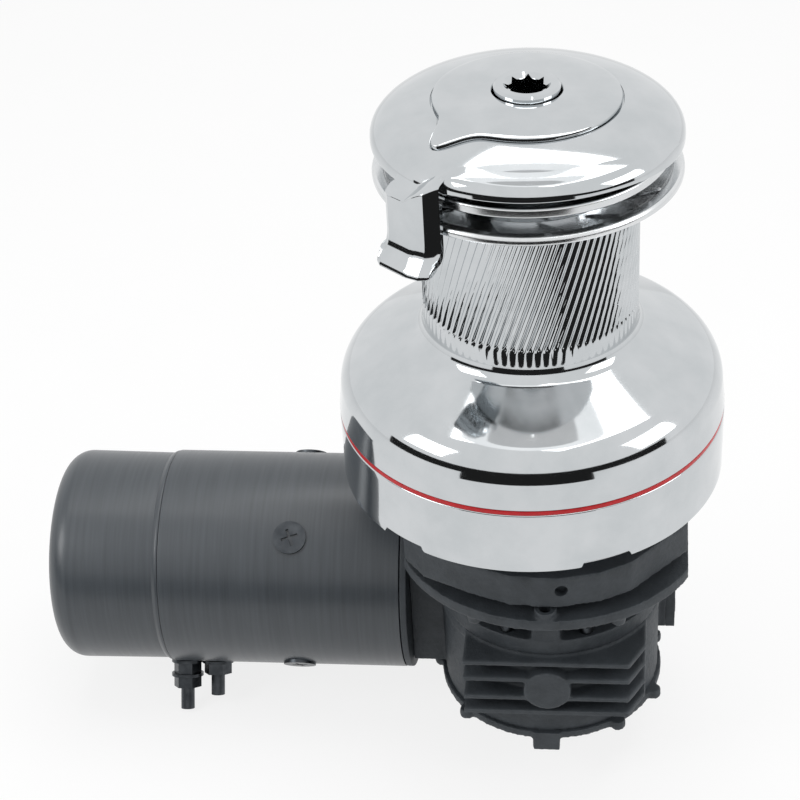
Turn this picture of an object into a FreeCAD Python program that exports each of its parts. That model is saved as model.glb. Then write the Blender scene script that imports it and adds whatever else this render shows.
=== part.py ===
import FreeCAD, Part
import math
import os
import re

import Sketcher

os.makedirs("parts", exist_ok=True)
doc = FreeCAD.newDocument("self_tailing_winch")

# Driving sizes in millimetres and degrees. Heights are measured from the deck, the winch axis is Z.
SIZES = {
    # Clearances
    "seat_gap": 0.05, "run_gap": 0.06, "free_gap": 0.3, "wide_gap": 1.0,
    # Foot
    "skirt_wall": 4, "skirt_top": 40.7, "stripe_height": 2.9, "shoulder_height": 3,
    "shoulder_width": 6.75, "notch_depth": 3.5, "notch_arc": 14.8, "notch_left": 231.9, "notch_front": 294.7,
    "plate_height": 9, "leg_top": 62, "leg_inner": 30, "leg_angle": 32, "core_bore": 16,
    "deck_hole": 4.5, "deck_holes": 6, "deck_seat": 1,
    # Stem
    "stem_flange_height": 4, "stem_radius": 36, "stem_bore": 24,
    "stem_screw": 4, "stem_screw_head": 8, "stem_screw_length": 20, "stem_screw_angle": 15,
    # Gear train
    "module": 2.5, "sun_teeth": 18, "idler_teeth": 24, "backlash": 0.28,
    "gear_low": 41, "gear_high": 61, "ring_low": 40, "pin_radius": 7, "pin_depth": 18,
    "ring_screw": 2.5, "ring_screw_head": 4.25, "ring_screws": 8, "ring_screw_length": 36, "ring_screw_sink": 5,
    # Ratchet
    "pawl_pivot_circle": 11, "pawl_pivot": 2.5, "pawl_low": 43, "pawl_high": 59, "pawl_tip_reach": 2.3,
    "pawl_tip_side": 9.07, "pawl_width": 4.4, "ratchet_notches": 8, "ratchet_depth": 2.15, "pawl_swing": 16,
    # Drum
    "bell_shoulder": 58.8, "bell_shoulder_bend": 23.3, "bell_slope": 25.3, "bell_wall": 7,
    "waist_bend": 10.3, "drum_radius": 62.8, "drum_top": 188, "rib_low": 113.9, "rib_count": 84, "rib_depth": 1.3,
    "rib_turn": 22, "rib_rows": 3, "washer_height": 2,
    # Bearings of the drum
    "roller_radius": 4.94, "roller_length": 22, "roller_count": 12, "cage_thickness": 5.6, "cage_rim": 1,
    # Self-tailing jaws
    "crown_ribs": 14, "crown_rib_width": 3, "crown_rib_height": 1.1, "crown_rib_slant": 24,
    "crown_screw": 2.5, "crown_screw_head": 3.9, "crown_screws": 4, "crown_screw_length": 14, "crown_screw_sink": 3,
    # Cap, arm and cover
    "cap_rise": 22.9, "cap_wall": 5, "arm_angle": 229, "arm_width": 30, "arm_thick": 9.5, "arm_drop": 41.5,
    "finger_tip": 66, "finger_width": 9, "cover_tail_angle": 228, "cover_tip": 6, "cover_step": 2,
    "cover_thick": 4, "cover_seam": 0.9,
    "cap_screw": 3, "cap_screw_circle": 30, "cap_screw_head": 5, "cap_screws": 6, "cap_screw_length": 20,
    "cap_screw_seat": 12,
    # Shaft
    "socket_head": 18.6, "socket_square": 17.5, "socket_depth": 40, "socket_mouth": 12.2,
    "socket_chamfer": 1.4, "journal": 14.45, "coupling_radius": 22, "coupling_half": 18,
    "bush_wall": 5.3, "bush_length": 32, "output_radius": 10,
    # Deck spacer and gearbox
    "spacer_radius": 66, "spacer_bore": 38, "deck_space": 22, "gear_offset": 10,
    "flange_left": 76, "flange_right": 95, "flange_front": 93.8, "flange_height": 24,
    "lip_radius": 99, "lip_height": 6.5, "neck_radius": 42, "neck_height": 33.5, "neck_web": 23,
    "neck_web_radius": 59, "ring_flange": 75.8, "ring_flange_rise": 5,
    "barrel_radius": 69.8, "barrel_height": 65, "cover_plate_height": 5, "cover_lug": 5,
    "fin_front": 77, "fin_thick": 3.6, "fin_left": 41, "fin_right": 71.5, "fin_end": 58, "boss_radius": 15,
    "boss_x": 14, "tab_width": 17, "tab_x": 9.5, "tab_height": 16, "tab_deep": 9,
    "gearbox_bolt": 4, "gearbox_bolt_circle": 56, "gearbox_bolt_head": 6.5, "gearbox_bolts": 4,
    "gearbox_bolt_sink": 8, "gearbox_bolt_depth": 20,
    "housing_screw": 2.5, "housing_screw_circle": 64, "housing_screws": 8, "housing_screw_length": 16,
    "cover_screw": 2, "cover_screw_circle": 65, "cover_screws": 8, "cover_screw_depth": 8,
    # Worm drive
    "worm_module": 2, "wheel_teeth": 30, "wheel_height": 24, "worm_pitch": 10,
    "worm_half": 20, "worm_shaft": 9, "worm_bore": 14, "wheel_room": 36,
    "worm_bearing": 18, "worm_bearing_width": 12, "left_bearing_x": -46, "right_bearing_x": 62,
    "bearing_height": 12, "upper_output_outer": 26, "lower_output_outer": 17, "seal_height": 8,
    "end_half": 28, "end_x": 90, "end_cap_thick": 6, "end_screw": 2.5, "end_screw_side": 22, "end_screw_rise": 15,
    "end_screw_length": 16,
    # Motor
    "motor_radius": 70, "motor_wall": 6, "motor_face": -87.3, "motor_flange_width": 9.7, "can_length": 142.4,
    "cap_length": 72.6, "motor_end_bend": 14, "motor_taper": 1.3, "spigot": 8, "motor_shaft_radius": 9,
    "motor_bearing": 22, "slot_count": 12, "slot_depth": 8, "slot_width": 5, "commutator_radius": 24,
    "commutator_length": 26, "pole_arc": 62, "pole_angle": 49.5, "pole_screw": 4, "pole_screw_head": 10.5,
    "pole_screw_back": 67.7, "pole_screw_rise": 2.6, "brush_width": 10, "brush_length": 14, "brush_reach": 34,
    "terminal_radius": 4.5, "terminal_length": 34, "terminal_pitch": 20.5, "terminal_nut": 9.2,
    "terminal_nut_height": 7.5, "terminal_washer": 10.5, "terminal_washer_height": 2, "terminal_tilt": 30,
}

# Places that follow from the driving sizes.
PLACES = {
    # Across, from the gear train outward
    "ring_teeth": "sun_teeth + 2 * idler_teeth",
    "ring_pitch": "module * ring_teeth / 2",
    "ring_radius": "ring_pitch + 13.5",
    "ring_screw_circle": "ring_pitch + 8.5",
    "ring_seat_inner": "ring_pitch + 1.5",
    "core_radius": "ring_pitch - 8.5",
    "bell_inner": "ring_radius + 12",
    "skirt_radius": "bell_inner + 7",
    "skirt_inner": "(skirt_radius - skirt_wall)",
    "bell_shoulder_radius": "skirt_radius - 1.5",
    "deck_circle": "skirt_radius - 20",
    "stem_screw_circle": "core_radius - 12",
    "idler_circle": "module * (sun_teeth + idler_teeth) / 2",
    # Across, from the drum outward and inward
    "bearing_race": "stem_radius + 10",
    "drum_relief": "bearing_race + 7",
    "sleeve_radius": "drum_radius - 8.8",
    "hub_radius": "drum_radius - 0.8",
    "crown_radius": "drum_radius + 24.1",
    "crown_face_outer": "crown_radius - 7.2",
    "crown_face_inner": "sleeve_radius + 5.1",
    "crown_screw_circle": "(sleeve_radius + bearing_race) / 2",
    "upper_radius": "crown_radius - 6.9",
    "cap_radius": "crown_radius",
    "cap_hub": "stem_radius + 6",
    "cover_radius": "cap_radius - 34.9",
    "cover_tail": "cover_radius + 18",
    "scoop_crease": "cap_radius - 13.9",
    "scoop_lip": "cap_radius - 0.7",
    "arm_inner": "cap_radius + 1.6",
    "arm_outer": "arm_inner + arm_thick",
    # Upward from the deck
    "stripe_top": "skirt_top + stripe_height",
    "bell_low": "stripe_top + free_gap",
    "core_top": "ring_low",
    "stem_flange_top": "leg_top + stem_flange_height",
    "washer_top": "stem_flange_top + washer_height",
    "hub_low": "washer_top + 0.1",
    "cage_height": "roller_length + 2 * cage_rim",
    "lower_bearing_low": "hub_low + free_gap",
    "lower_bearing_high": "lower_bearing_low + cage_height",
    "upper_bearing_low": "sleeve_top - 36",
    "upper_bearing_high": "upper_bearing_low + cage_height",
    "roller_circle": "(stem_radius + bearing_race) / 2",
    "cone_high": "bell_shoulder + bell_shoulder_bend * cos(bell_slope * 1deg)",
    "cone_outer": "bell_shoulder_radius - bell_shoulder_bend * (1 - sin(bell_slope * 1deg))",
    "waist_outer": "drum_radius + waist_bend * (1 - sin(bell_slope * 1deg))",
    "waist_low": "cone_high + (cone_outer - waist_outer) * tan(bell_slope * 1deg)",
    "waist_high": "waist_low + waist_bend * cos(bell_slope * 1deg)",
    "relief_high": "waist_low - bell_wall",
    "relief_low": "waist_low - bell_wall - (bell_relief_outer - hub_radius) * tan(bell_slope * 1deg)",
    "bell_relief_outer": "ring_seat_inner - 2",
    "rib_high": "drum_top - 2",
    "sleeve_top": "drum_top + 8",
    "crown_lip_low": "drum_top - 0.8",
    "crown_hub_low": "drum_top + 3",
    "crown_face_low": "crown_hub_low + 3.7",
    "crown_edge": "crown_hub_low + 7",
    "crown_face_high": "crown_face_low + 6.8",
    "crown_rim": "crown_edge + 4.4",
    "upper_hub": "sleeve_top + 5",
    "upper_top": "sleeve_top + 20",
    "upper_rim": "upper_top - 5.5",
    "stem_top": "upper_top - 4",
    "cap_low": "upper_top + 2.5",
    "cap_rim": "cap_low + 2.3",
    "scoop_crease_high": "cap_rim + 14.4",
    "scoop_lip_high": "cap_rim + 1.2",
    "arm_foot": "cap_low - arm_drop",
    "socket_top": "cap_rim + cap_rise + 5.4",
    "clear_above": "socket_top + 10",
    # Downward from the deck, as depths
    "shaft_depth": "deck_space - 2",
    "output_top": "-shaft_depth - 0.5",
    "flange_low": "deck_space + flange_height",
    "seal_high": "flange_low - 7",
    "lip_high": "flange_low + 5",
    "lip_low": "lip_high + lip_height",
    "neck_low": "lip_low + neck_height",
    "ring_flange_top": "ring_flange - ring_flange_rise",
    "ring_joint": "neck_low + 11",
    "ring_flange_low": "ring_joint + 7",
    "worm_z": "-ring_joint - 18",
    "boss_z": "ring_joint + 29.5",
    "wheel_room_low": "ring_joint + 38",
    "output_low": "ring_joint + 49",
    "barrel_low": "ring_joint + barrel_height",
    "cover_plate": "barrel_radius + 2.2",
    "cover_plate_low": "barrel_low + cover_plate_height",
    "tab_low": "cover_plate_low + tab_height",
    # The worm and the motor, along X
    "worm_y": "worm_pitch + worm_module * wheel_teeth / 2",
    "neck_half": "motor_radius - 24",
    "can_right": "motor_face - motor_flange_width",
    "motor_seam": "(can_right - can_length)",
    "motor_end": "(motor_seam - cap_length)",
    "armature_radius": "motor_radius - 28",
    "armature_left": "motor_seam + 14.4",
    "armature_right": "motor_face - 30.7",
    "pole_inner": "armature_radius + 1",
    "commutator_right": "motor_seam + 3.4",
    "commutator_left": "commutator_right - commutator_length",
    "brush_middle": "(commutator_left + commutator_right) / 2",
    "pole_screw_x": "motor_face - pole_screw_back",
    "terminal_x": "motor_seam + 4.9",
    "second_terminal_x": "terminal_x + terminal_pitch",
}

HELPERS = []

WORD = re.compile(r"[a-z][a-z_]+")


def formula(text):
    """Write plain size names as references to the sheet, and places as their own formulas."""
    def swap(found):
        word = found.group()
        if word in SIZES:
            return "sizes." + word
        if word in PLACES:
            return "(" + formula(PLACES[word]) + ")"
        return word
    return WORD.sub(swap, str(text))


def make_sheet():
    sheet = doc.addObject("Spreadsheet::Sheet", "sizes")
    for row, (alias, value) in enumerate(SIZES.items(), start=1):
        sheet.set("A%d" % row, alias)
        sheet.set("B%d" % row, str(value))
        sheet.setAlias("B%d" % row, alias)
    doc.recompute()
    return sheet


sheet = make_sheet()


def number(text):
    """The present value of a formula."""
    value = sheet.evalExpression(formula(text))
    return float(getattr(value, "Value", value))


def origin_part(body, role):
    return [item for item in body.Origin.OriginFeatures if item.Role == role][0]


def new_body(name):
    body = doc.addObject("PartDesign::Body", name)
    body.Label = name
    body.AllowCompound = True
    return body


def new_sketch(body, name, plane, height="0"):
    sketch = body.newObject("Sketcher::SketchObject", name)
    sketch.AttachmentSupport = [(origin_part(body, plane), "")]
    sketch.MapMode = "FlatFace"
    sketch.setExpression("AttachmentOffset.Base.z", formula(height))
    return sketch


def pin_point(sketch, edge, end, point, spot):
    """Bind one end of an edge to two formulas."""
    for kind, text, value in (("DistanceX", point[0], spot.x), ("DistanceY", point[1], spot.y)):
        index = sketch.addConstraint(Sketcher.Constraint(kind, -1, 1, edge, end, value))
        sketch.setExpression("Constraints[%d]" % index, formula(text))


def arc_between(first, last, radius):
    """The shorter arc, on the left of the way from first to last when radius is positive."""
    along = last - first
    half = along.Length / 2
    side = FreeCAD.Vector(-along.y, along.x, 0).normalize()
    reach = abs(radius)
    sign = 1 if radius > 0 else -1
    offset = math.sqrt(max(reach * reach - half * half, 0))
    middle = (first + last) / 2
    bulge = middle - side * sign * (reach - offset)
    if radius < 0:
        first, last = last, first
    return Part.ArcOfCircle(first, bulge, last)


def draw(sketch, outline):
    """Draw a closed outline. A point is (across, up), and a third formula bends the edge that leads to it."""
    spots = [FreeCAD.Vector(number(point[0]), number(point[1]), 0) for point in outline]
    count = len(outline)
    for index in range(count):
        after = (index + 1) % count
        if len(outline[after]) > 2:
            edge = arc_between(spots[index], spots[after], number(outline[after][2]))
        else:
            edge = Part.LineSegment(spots[index], spots[after])
        sketch.addGeometry(edge, False)
    ends = [edge_ends(sketch.Geometry[index], spots[index]) for index in range(count)]
    for index in range(count):
        after = (index + 1) % count
        sketch.addConstraint(Sketcher.Constraint("Coincident", index, ends[index][1], after, ends[after][0]))
        pin_point(sketch, index, ends[index][0], outline[index], spots[index])
        if len(outline[after]) > 2:
            bend = outline[after][2]
            place = sketch.addConstraint(Sketcher.Constraint("Radius", index, abs(number(bend))))
            sketch.setExpression("Constraints[%d]" % place, formula("abs(" + bend + ")"))
    return sketch


def edge_ends(edge, start):
    """Point numbers of an edge's first and last end, as the outline runs."""
    if (edge.StartPoint - start).Length < 0.0001:
        return 1, 2
    return 2, 1


def draw_circle(sketch, across, up, radius):
    spot = FreeCAD.Vector(number(across), number(up), 0)
    edge = sketch.addGeometry(Part.Circle(spot, FreeCAD.Vector(0, 0, 1), number(radius)), False)
    pin_point(sketch, edge, 3, (across, up), spot)
    place = sketch.addConstraint(Sketcher.Constraint("Radius", edge, number(radius)))
    sketch.setExpression("Constraints[%d]" % place, formula(radius))
    return sketch


def turned(name, outline):
    """A body turned about its own Z axis from a closed outline of radius and height."""
    body = new_body(name)
    sketch = draw(new_sketch(body, name + "_outline", "XZ_Plane"), outline)
    turn = body.newObject("PartDesign::Revolution", name + "_turn")
    turn.Profile = sketch
    turn.ReferenceAxis = (sketch, ["V_Axis"])
    turn.Angle = 360
    doc.recompute()
    return body


def tube(name, inner, outer, low, high):
    return turned(name, [(inner, low), (outer, low), (outer, high), (inner, high)])


def repeat(body, name, feature, count):
    """Repeat a feature round the body's Z axis."""
    pattern = body.newObject("PartDesign::PolarPattern", name)
    pattern.Originals = [feature]
    pattern.Axis = (origin_part(body, "Z_Axis"), [""])
    pattern.Angle = 360
    pattern.setExpression("Occurrences", formula(count))
    body.Tip = pattern
    doc.recompute()
    return pattern


def cut_up(body, name, sketch, depth):
    """Cut a sketch upward by a depth, and make sure that material went."""
    before = body.Shape.Volume
    pocket = body.newObject("PartDesign::Pocket", name)
    pocket.Profile = sketch
    pocket.Type = 0
    pocket.setExpression("Length", formula(depth))
    pocket.Reversed = True
    doc.recompute()
    if not body.Shape.Volume < before - 0.001:
        raise RuntimeError(name + " cuts nothing")
    return pocket


def drill(body, name, circle, radius, low, depth, count, start="0"):
    """A ring of round holes, drilled upward from a level."""
    sketch = new_sketch(body, name + "_circle", "XY_Plane", low)
    across = "(%s) * cos((%s) * 1deg)" % (circle, start)
    along = "(%s) * sin((%s) * 1deg)" % (circle, start)
    draw_circle(sketch, across, along, radius)
    pocket = cut_up(body, name, sketch, depth)
    return repeat(body, name + "_ring", pocket, count)


def fasteners(name, outline, circle, count, start="0"):
    """Separate turned pieces that stand on a circle round Z. The outline's radius starts at the piece's own axis."""
    body = new_body(name)
    sketch = new_sketch(body, name + "_outline", "XZ_Plane")
    moved = [("(%s) + %s" % (circle, point[0]),) + tuple(point[1:]) for point in outline]
    draw(sketch, moved)
    low = min(number(point[1]) for point in outline)
    high = max(number(point[1]) for point in outline)
    place = number(circle)
    ends = (FreeCAD.Vector(place, low, 0), FreeCAD.Vector(place, high, 0))
    axis = sketch.addGeometry(Part.LineSegment(*ends), True)
    pin_point(sketch, axis, 1, (circle, outline[0][1]), ends[0])
    sketch.addConstraint(Sketcher.Constraint("Vertical", axis))
    turn = body.newObject("PartDesign::Revolution", name + "_turn")
    turn.Profile = sketch
    turn.ReferenceAxis = (sketch, ["Axis0"])
    turn.Angle = 360
    doc.recompute()
    if number(count) > 1:
        repeat(body, name + "_ring", turn, count)
    if start != "0":
        spin(body, start)
    return body


def spin(item, angle):
    item.Placement = FreeCAD.Placement(FreeCAD.Vector(), FreeCAD.Rotation(FreeCAD.Vector(0, 0, 1), number(angle)))
    item.setExpression("Placement.Rotation.Angle", formula(angle))


def along_worm(item):
    """Lay a piece that was made along Z on the axis of the worm and the motor."""
    turn = FreeCAD.Rotation(FreeCAD.Vector(0, 1, 0), 90)
    item.Placement = FreeCAD.Placement(FreeCAD.Vector(0, number("worm_y"), number("worm_z")), turn)
    item.setExpression("Placement.Base.y", formula("worm_y"))
    item.setExpression("Placement.Base.z", formula("worm_z"))
    return item


def solid(name, shape):
    item = doc.addObject("Part::Feature", name)
    item.Label = name
    item.Shape = shape
    return item


def together(name, members):
    """One node that holds several separate pieces."""
    group = doc.addObject("Part::Compound", name)
    group.Label = name
    group.Links = members
    for member in members:
        HELPERS.append(member.Name)
    return group


def vector(across, along, up=0.0):
    return FreeCAD.Vector(across, along, up)


def polar(radius, degrees, up=0.0):
    angle = math.radians(degrees)
    return vector(radius * math.cos(angle), radius * math.sin(angle), up)


def prism(points, low, high):
    """A straight prism over a polygon of (x, y) points."""
    corners = [vector(point[0], point[1], low) for point in points]
    face = Part.Face(Part.makePolygon(corners + corners[:1]))
    return face.extrude(vector(0, 0, high - low))


def cylinder(radius, low, high, across=0.0, along=0.0):
    return Part.makeCylinder(radius, high - low, vector(across, along, low))


def ring_solid(inner, outer, low, high, across=0.0, along=0.0):
    return cylinder(outer, low, high, across, along).cut(cylinder(inner, low, high, across, along))


def revolve_points(points, start=0.0, sweep=360.0):
    """Turn a polygon of (radius, height) points about Z from a start angle."""
    corners = [vector(point[0], 0, point[1]) for point in points]
    face = Part.Face(Part.makePolygon(corners + corners[:1]))
    shape = face.revolve(vector(0, 0, 0), vector(0, 0, 1), sweep)
    shape.rotate(vector(0, 0, 0), vector(0, 0, 1), start)
    return shape


def make_foot():
    skirt = turned("base_skirt", [
        ("skirt_inner - seat_gap", "0"),
        ("skirt_radius", "0"),
        ("skirt_radius", "skirt_top"),
        ("skirt_inner", "skirt_top"),
        ("skirt_inner", "plate_height + shoulder_height"),
        ("skirt_inner - shoulder_width", "plate_height + shoulder_height"),
        ("skirt_inner - shoulder_width", "plate_height"),
        ("skirt_inner - seat_gap", "plate_height"),
    ])
    for side, middle in (("left", "notch_left"), ("front", "notch_front")):
        sketch = new_sketch(skirt, side + "_notch_outline", "XY_Plane")
        corners = []
        for reach, turn in (("0.9", "-0.5"), ("1.1", "-0.5"), ("1.1", "0.5"), ("0.9", "0.5")):
            angle = "(%s + %s * notch_arc) * 1deg" % (middle, turn)
            corners.append(("%s * skirt_radius * cos(%s)" % (reach, angle), "%s * skirt_radius * sin(%s)" % (reach, angle)))
        draw(sketch, corners)
        pocket = cut_up(skirt, side + "_notch", sketch, "notch_depth")
        repeat(skirt, side + "_notches", pocket, "2")
    tube("red_stripe_ring", "skirt_inner", "skirt_radius", "skirt_top", "stripe_top")


def leg_sketch(body, name, middle):
    sketch = new_sketch(body, name + "_outline", "XY_Plane", "core_top")
    low = "(%s - leg_angle) * 1deg" % middle
    high = "(%s + leg_angle) * 1deg" % middle
    draw(sketch, [
        ("leg_inner * cos(%s)" % low, "leg_inner * sin(%s)" % low),
        ("core_radius * cos(%s)" % low, "core_radius * sin(%s)" % low),
        ("core_radius * cos(%s)" % high, "core_radius * sin(%s)" % high, "core_radius"),
        ("leg_inner * cos(%s)" % high, "leg_inner * sin(%s)" % high),
    ])
    return sketch


def make_base():
    base = turned("winch_base", [
        ("core_bore", "deck_seat"),
        ("spacer_radius + free_gap", "deck_seat"),
        ("spacer_radius + free_gap", "0"),
        ("skirt_inner - seat_gap - seat_gap", "0"),
        ("skirt_inner - seat_gap - seat_gap", "plate_height"),
        ("core_radius", "plate_height"),
        ("core_radius", "core_top"),
        ("journal + run_gap + bush_wall + seat_gap", "core_top"),
        ("journal + run_gap + bush_wall + seat_gap", "plate_height"),
        ("core_bore", "plate_height"),
    ])
    for name, middle in (("right_leg", "0"), ("left_leg", "180")):
        pad = base.newObject("PartDesign::Pad", name)
        pad.Profile = leg_sketch(base, name, middle)
        pad.setExpression("Length", formula("leg_top - core_top"))
        doc.recompute()
    drill(base, "deck_holes", "deck_circle", "deck_hole", "0", "plate_height", "deck_holes")
    drill(base, "bolt_holes", "gearbox_bolt_circle", "gearbox_bolt + seat_gap", "0", "core_top", "gearbox_bolts", "45")
    drill(base, "bolt_sinks", "gearbox_bolt_circle", "gearbox_bolt_head + free_gap",
          "core_top - gearbox_bolt_sink", "gearbox_bolt_sink", "gearbox_bolts", "45")
    drill(base, "pin_holes", "idler_circle", "pin_radius + seat_gap", "core_top - pin_depth", "pin_depth", "2", "90")
    for name, turn in (("left", "-stem_screw_angle"), ("right", "stem_screw_angle")):
        drill(base, name + "_stem_holes", "stem_screw_circle", "stem_screw + seat_gap",
              "leg_top - stem_screw_length", "stem_screw_length", "2", turn)
    tube("lower_shaft_bush", "journal + run_gap", "journal + run_gap + bush_wall", "plate_height", "core_top")


def make_stem():
    stem = turned("centre_stem", [
        ("stem_bore + seat_gap", "leg_top"),
        ("core_radius", "leg_top"),
        ("core_radius", "stem_flange_top"),
        ("stem_radius", "stem_flange_top"),
        ("stem_radius", "stem_top"),
        ("stem_bore + seat_gap", "stem_top"),
    ])
    drill(stem, "pin_seats", "idler_circle", "pin_radius + seat_gap", "leg_top", "stem_flange_height", "2", "90")
    for name, turn in (("left", "-stem_screw_angle"), ("right", "stem_screw_angle")):
        drill(stem, name + "_stem_seats", "stem_screw_circle", "stem_screw_head + seat_gap", "leg_top",
              "stem_flange_height", "2", turn)
    drill(stem, "cap_holes", "cap_screw_circle", "cap_screw + seat_gap", "stem_top - cap_screw_length",
          "cap_screw_length", "cap_screws")
    screw = [
        ("0", "leg_top - stem_screw_length"),
        ("stem_screw", "leg_top - stem_screw_length"),
        ("stem_screw", "leg_top"),
        ("stem_screw_head", "leg_top"),
        ("stem_screw_head", "stem_flange_top"),
        ("0", "stem_flange_top"),
    ]
    pairs = []
    for name, turn in (("left", "-stem_screw_angle"), ("right", "stem_screw_angle")):
        pairs.append(fasteners(name + "_stem_screws", screw, "stem_screw_circle", "2", turn))
    together("stem_screws", pairs)
    fasteners("idler_pins", [
        ("0", "core_top - pin_depth"),
        ("pin_radius", "core_top - pin_depth"),
        ("pin_radius", "stem_flange_top"),
        ("0", "stem_flange_top"),
    ], "idler_circle", "2", "90")
    tube("upper_shaft_bush", "socket_head + run_gap", "stem_bore", "stem_top - bush_length", "stem_top")
    tube("drum_washer", "stem_radius + seat_gap", "hub_radius - 2", "stem_flange_top", "washer_top")
    tube("bearing_spacer", "stem_radius + seat_gap", "roller_circle", "lower_bearing_high + free_gap",
         "upper_bearing_low - free_gap")
    turned("drum_retainer", [
        ("stem_radius + seat_gap", "upper_bearing_high + free_gap"),
        ("roller_circle + cage_thickness / 2", "upper_bearing_high + free_gap"),
        ("roller_circle + cage_thickness / 2", "upper_hub + free_gap"),
        ("bearing_race + 2", "upper_hub + free_gap"),
        ("bearing_race + 2", "upper_hub + free_gap + 5"),
        ("stem_radius + seat_gap", "upper_hub + free_gap + 5"),
    ])


def involute_flank(base, radius, start):
    """The point of an involute at a radius, turned to a start angle in radians."""
    roll = math.sqrt(max((radius / base) ** 2 - 1, 0))
    angle = start + roll - math.atan(roll)
    return radius * math.cos(angle), radius * math.sin(angle)


def tooth_half_angle(teeth, module, backlash):
    """Half the angle of a tooth at its base circle."""
    pitch = module * teeth / 2
    pressure = math.radians(20)
    half = (math.pi * module / 2 - backlash) / 2 / pitch
    return half + math.tan(pressure) - pressure


def gear_outline(teeth, module, backlash, first=0.0, inner=False):
    """Points round a gear. An inner gear's outline is that of a gear that would just fill it."""
    pitch = module * teeth / 2
    base = pitch * math.cos(math.radians(20))
    root = pitch - (1.0 if inner else 1.25) * module
    tip = pitch + (1.25 if inner else 1.0) * module
    half = tooth_half_angle(teeth, module, -backlash if inner else backlash)
    low = max(root, base)
    steps = [low + (tip - low) * share for share in (0.0, 0.35, 0.7, 1.0)]
    points = []
    for index in range(teeth):
        middle = math.radians(first) + 2 * math.pi * index / teeth
        flank = [involute_flank(base, radius, -half) for radius in steps]
        if base > root:
            flank.insert(0, (root * math.cos(-half), root * math.sin(-half)))
        both = flank + [(across, -along) for across, along in reversed(flank)]
        for across, along in both:
            turn_x = across * math.cos(middle) - along * math.sin(middle)
            turn_y = across * math.sin(middle) + along * math.cos(middle)
            points.append((turn_x, turn_y))
    return points


def notch_points(count, radius, depth):
    """Ratchet notches for a pawl, each with a steep end ahead of the pawl's tip."""
    side = number("pawl_tip_side + free_gap")
    tip = number("pawl_pivot_circle + pawl_tip_reach")
    steep = math.degrees(math.atan2(side, tip))
    notches = []
    for index in range(count):
        corners = [
            polar(radius - 1, steep - 27),
            vector(math.sqrt((radius + depth) ** 2 - side ** 2), side),
            vector(math.sqrt((radius - 1) ** 2 - side ** 2), side),
        ]
        turn = FreeCAD.Rotation(vector(0, 0, 1), 360.0 * index / count)
        moved = [turn.multVec(corner) for corner in corners]
        notches.append([(corner.x, corner.y) for corner in moved])
    return notches


def make_gears():
    module = number("module")
    backlash = number("backlash")
    low, high = number("gear_low"), number("gear_high")
    bore = number("journal + run_gap")
    sun = prism(gear_outline(int(number("sun_teeth")), module, backlash), low, high)
    sun = sun.cut(cylinder(bore, low, high))
    for notch in notch_points(int(number("ratchet_notches")), bore, number("ratchet_depth")):
        sun = sun.cut(prism(notch, low, high))
    solid("shaft_gear", sun)
    teeth = int(number("idler_teeth"))
    outline = gear_outline(teeth, module, backlash)
    for name, side in (("front", -1), ("rear", 1)):
        idler = prism(outline, low, high).cut(cylinder(number("pin_radius + run_gap"), low, high))
        item = solid("idler_gear_" + name, idler)
        item.Placement.Base = vector(0, side * number("idler_circle"))
        item.setExpression("Placement.Base.y", formula("%d * idler_circle" % side))
    ring_teeth = int(number("ring_teeth"))
    space = 180.0 / ring_teeth
    ring_low, ring_high = number("ring_low"), number("stem_flange_top")
    ring = cylinder(number("ring_radius"), ring_low, ring_high)
    ring = ring.cut(prism(gear_outline(ring_teeth, module, backlash, space, True), ring_low, ring_high))
    for index in range(int(number("ring_screws"))):
        spot = polar(number("ring_screw_circle"), 360.0 * index / number("ring_screws"))
        ring = ring.cut(cylinder(number("ring_screw + seat_gap"), ring_low, ring_high, spot.x, spot.y))
        sink = number("ring_low + ring_screw_sink")
        ring = ring.cut(cylinder(number("ring_screw_head + seat_gap"), ring_low, sink, spot.x, spot.y))
    solid("drum_ring_gear", ring)
    fasteners("ring_gear_screws", [
        ("0", "ring_low"),
        ("ring_screw_head", "ring_low"),
        ("ring_screw_head", "ring_low + ring_screw_sink"),
        ("ring_screw", "ring_low + ring_screw_sink"),
        ("ring_screw", "ring_low + ring_screw_length"),
        ("0", "ring_low + ring_screw_length"),
    ], "ring_screw_circle", "ring_screws")


def pawl_shape(grow, low, high):
    """A pawl at rest, its pivot on the X axis. Growing it gives the pocket that it lies in."""
    pivot = vector(number("pawl_pivot_circle"), 0)
    tip = pivot + vector(number("pawl_tip_reach"), number("pawl_tip_side"))
    radius = number("pawl_pivot") + grow
    width = number("pawl_width") - number("pawl_pivot")
    corners = [
        (pivot.x + radius, pivot.y),
        (tip.x + grow, tip.y - 1.5),
        (tip.x + grow, tip.y + grow),
        (tip.x - width - grow, tip.y + grow),
        (pivot.x - radius, pivot.y + 1),
        (pivot.x - radius, pivot.y),
    ]
    return cylinder(radius, low, high, pivot.x, pivot.y).fuse(prism(corners, low, high)).removeSplitter()


def pawl_pocket():
    """The room that a pawl sweeps in the shaft, from its rest to fully in."""
    low, high = number("pawl_low - free_gap"), number("pawl_high + free_gap")
    pivot = vector(number("pawl_pivot_circle"), 0)
    room = cylinder(number("pawl_pivot + run_gap"), low, high, pivot.x, pivot.y)
    swing = number("pawl_swing")
    for share in (0.0, 0.2, 0.4, 0.6, 0.8, 1.0, 1.12):
        swept = pawl_shape(number("run_gap"), low, high)
        swept.rotate(pivot, vector(0, 0, 1), swing * share)
        room = room.fuse(swept)
    slack = pawl_shape(number("free_gap"), low, high)
    inside = prism([(pivot.x - 9, 2.9), (pivot.x + 6, 2.9), (pivot.x + 6, 13), (pivot.x - 9, 13)], low, high)
    return room.fuse(slack.common(inside))


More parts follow.
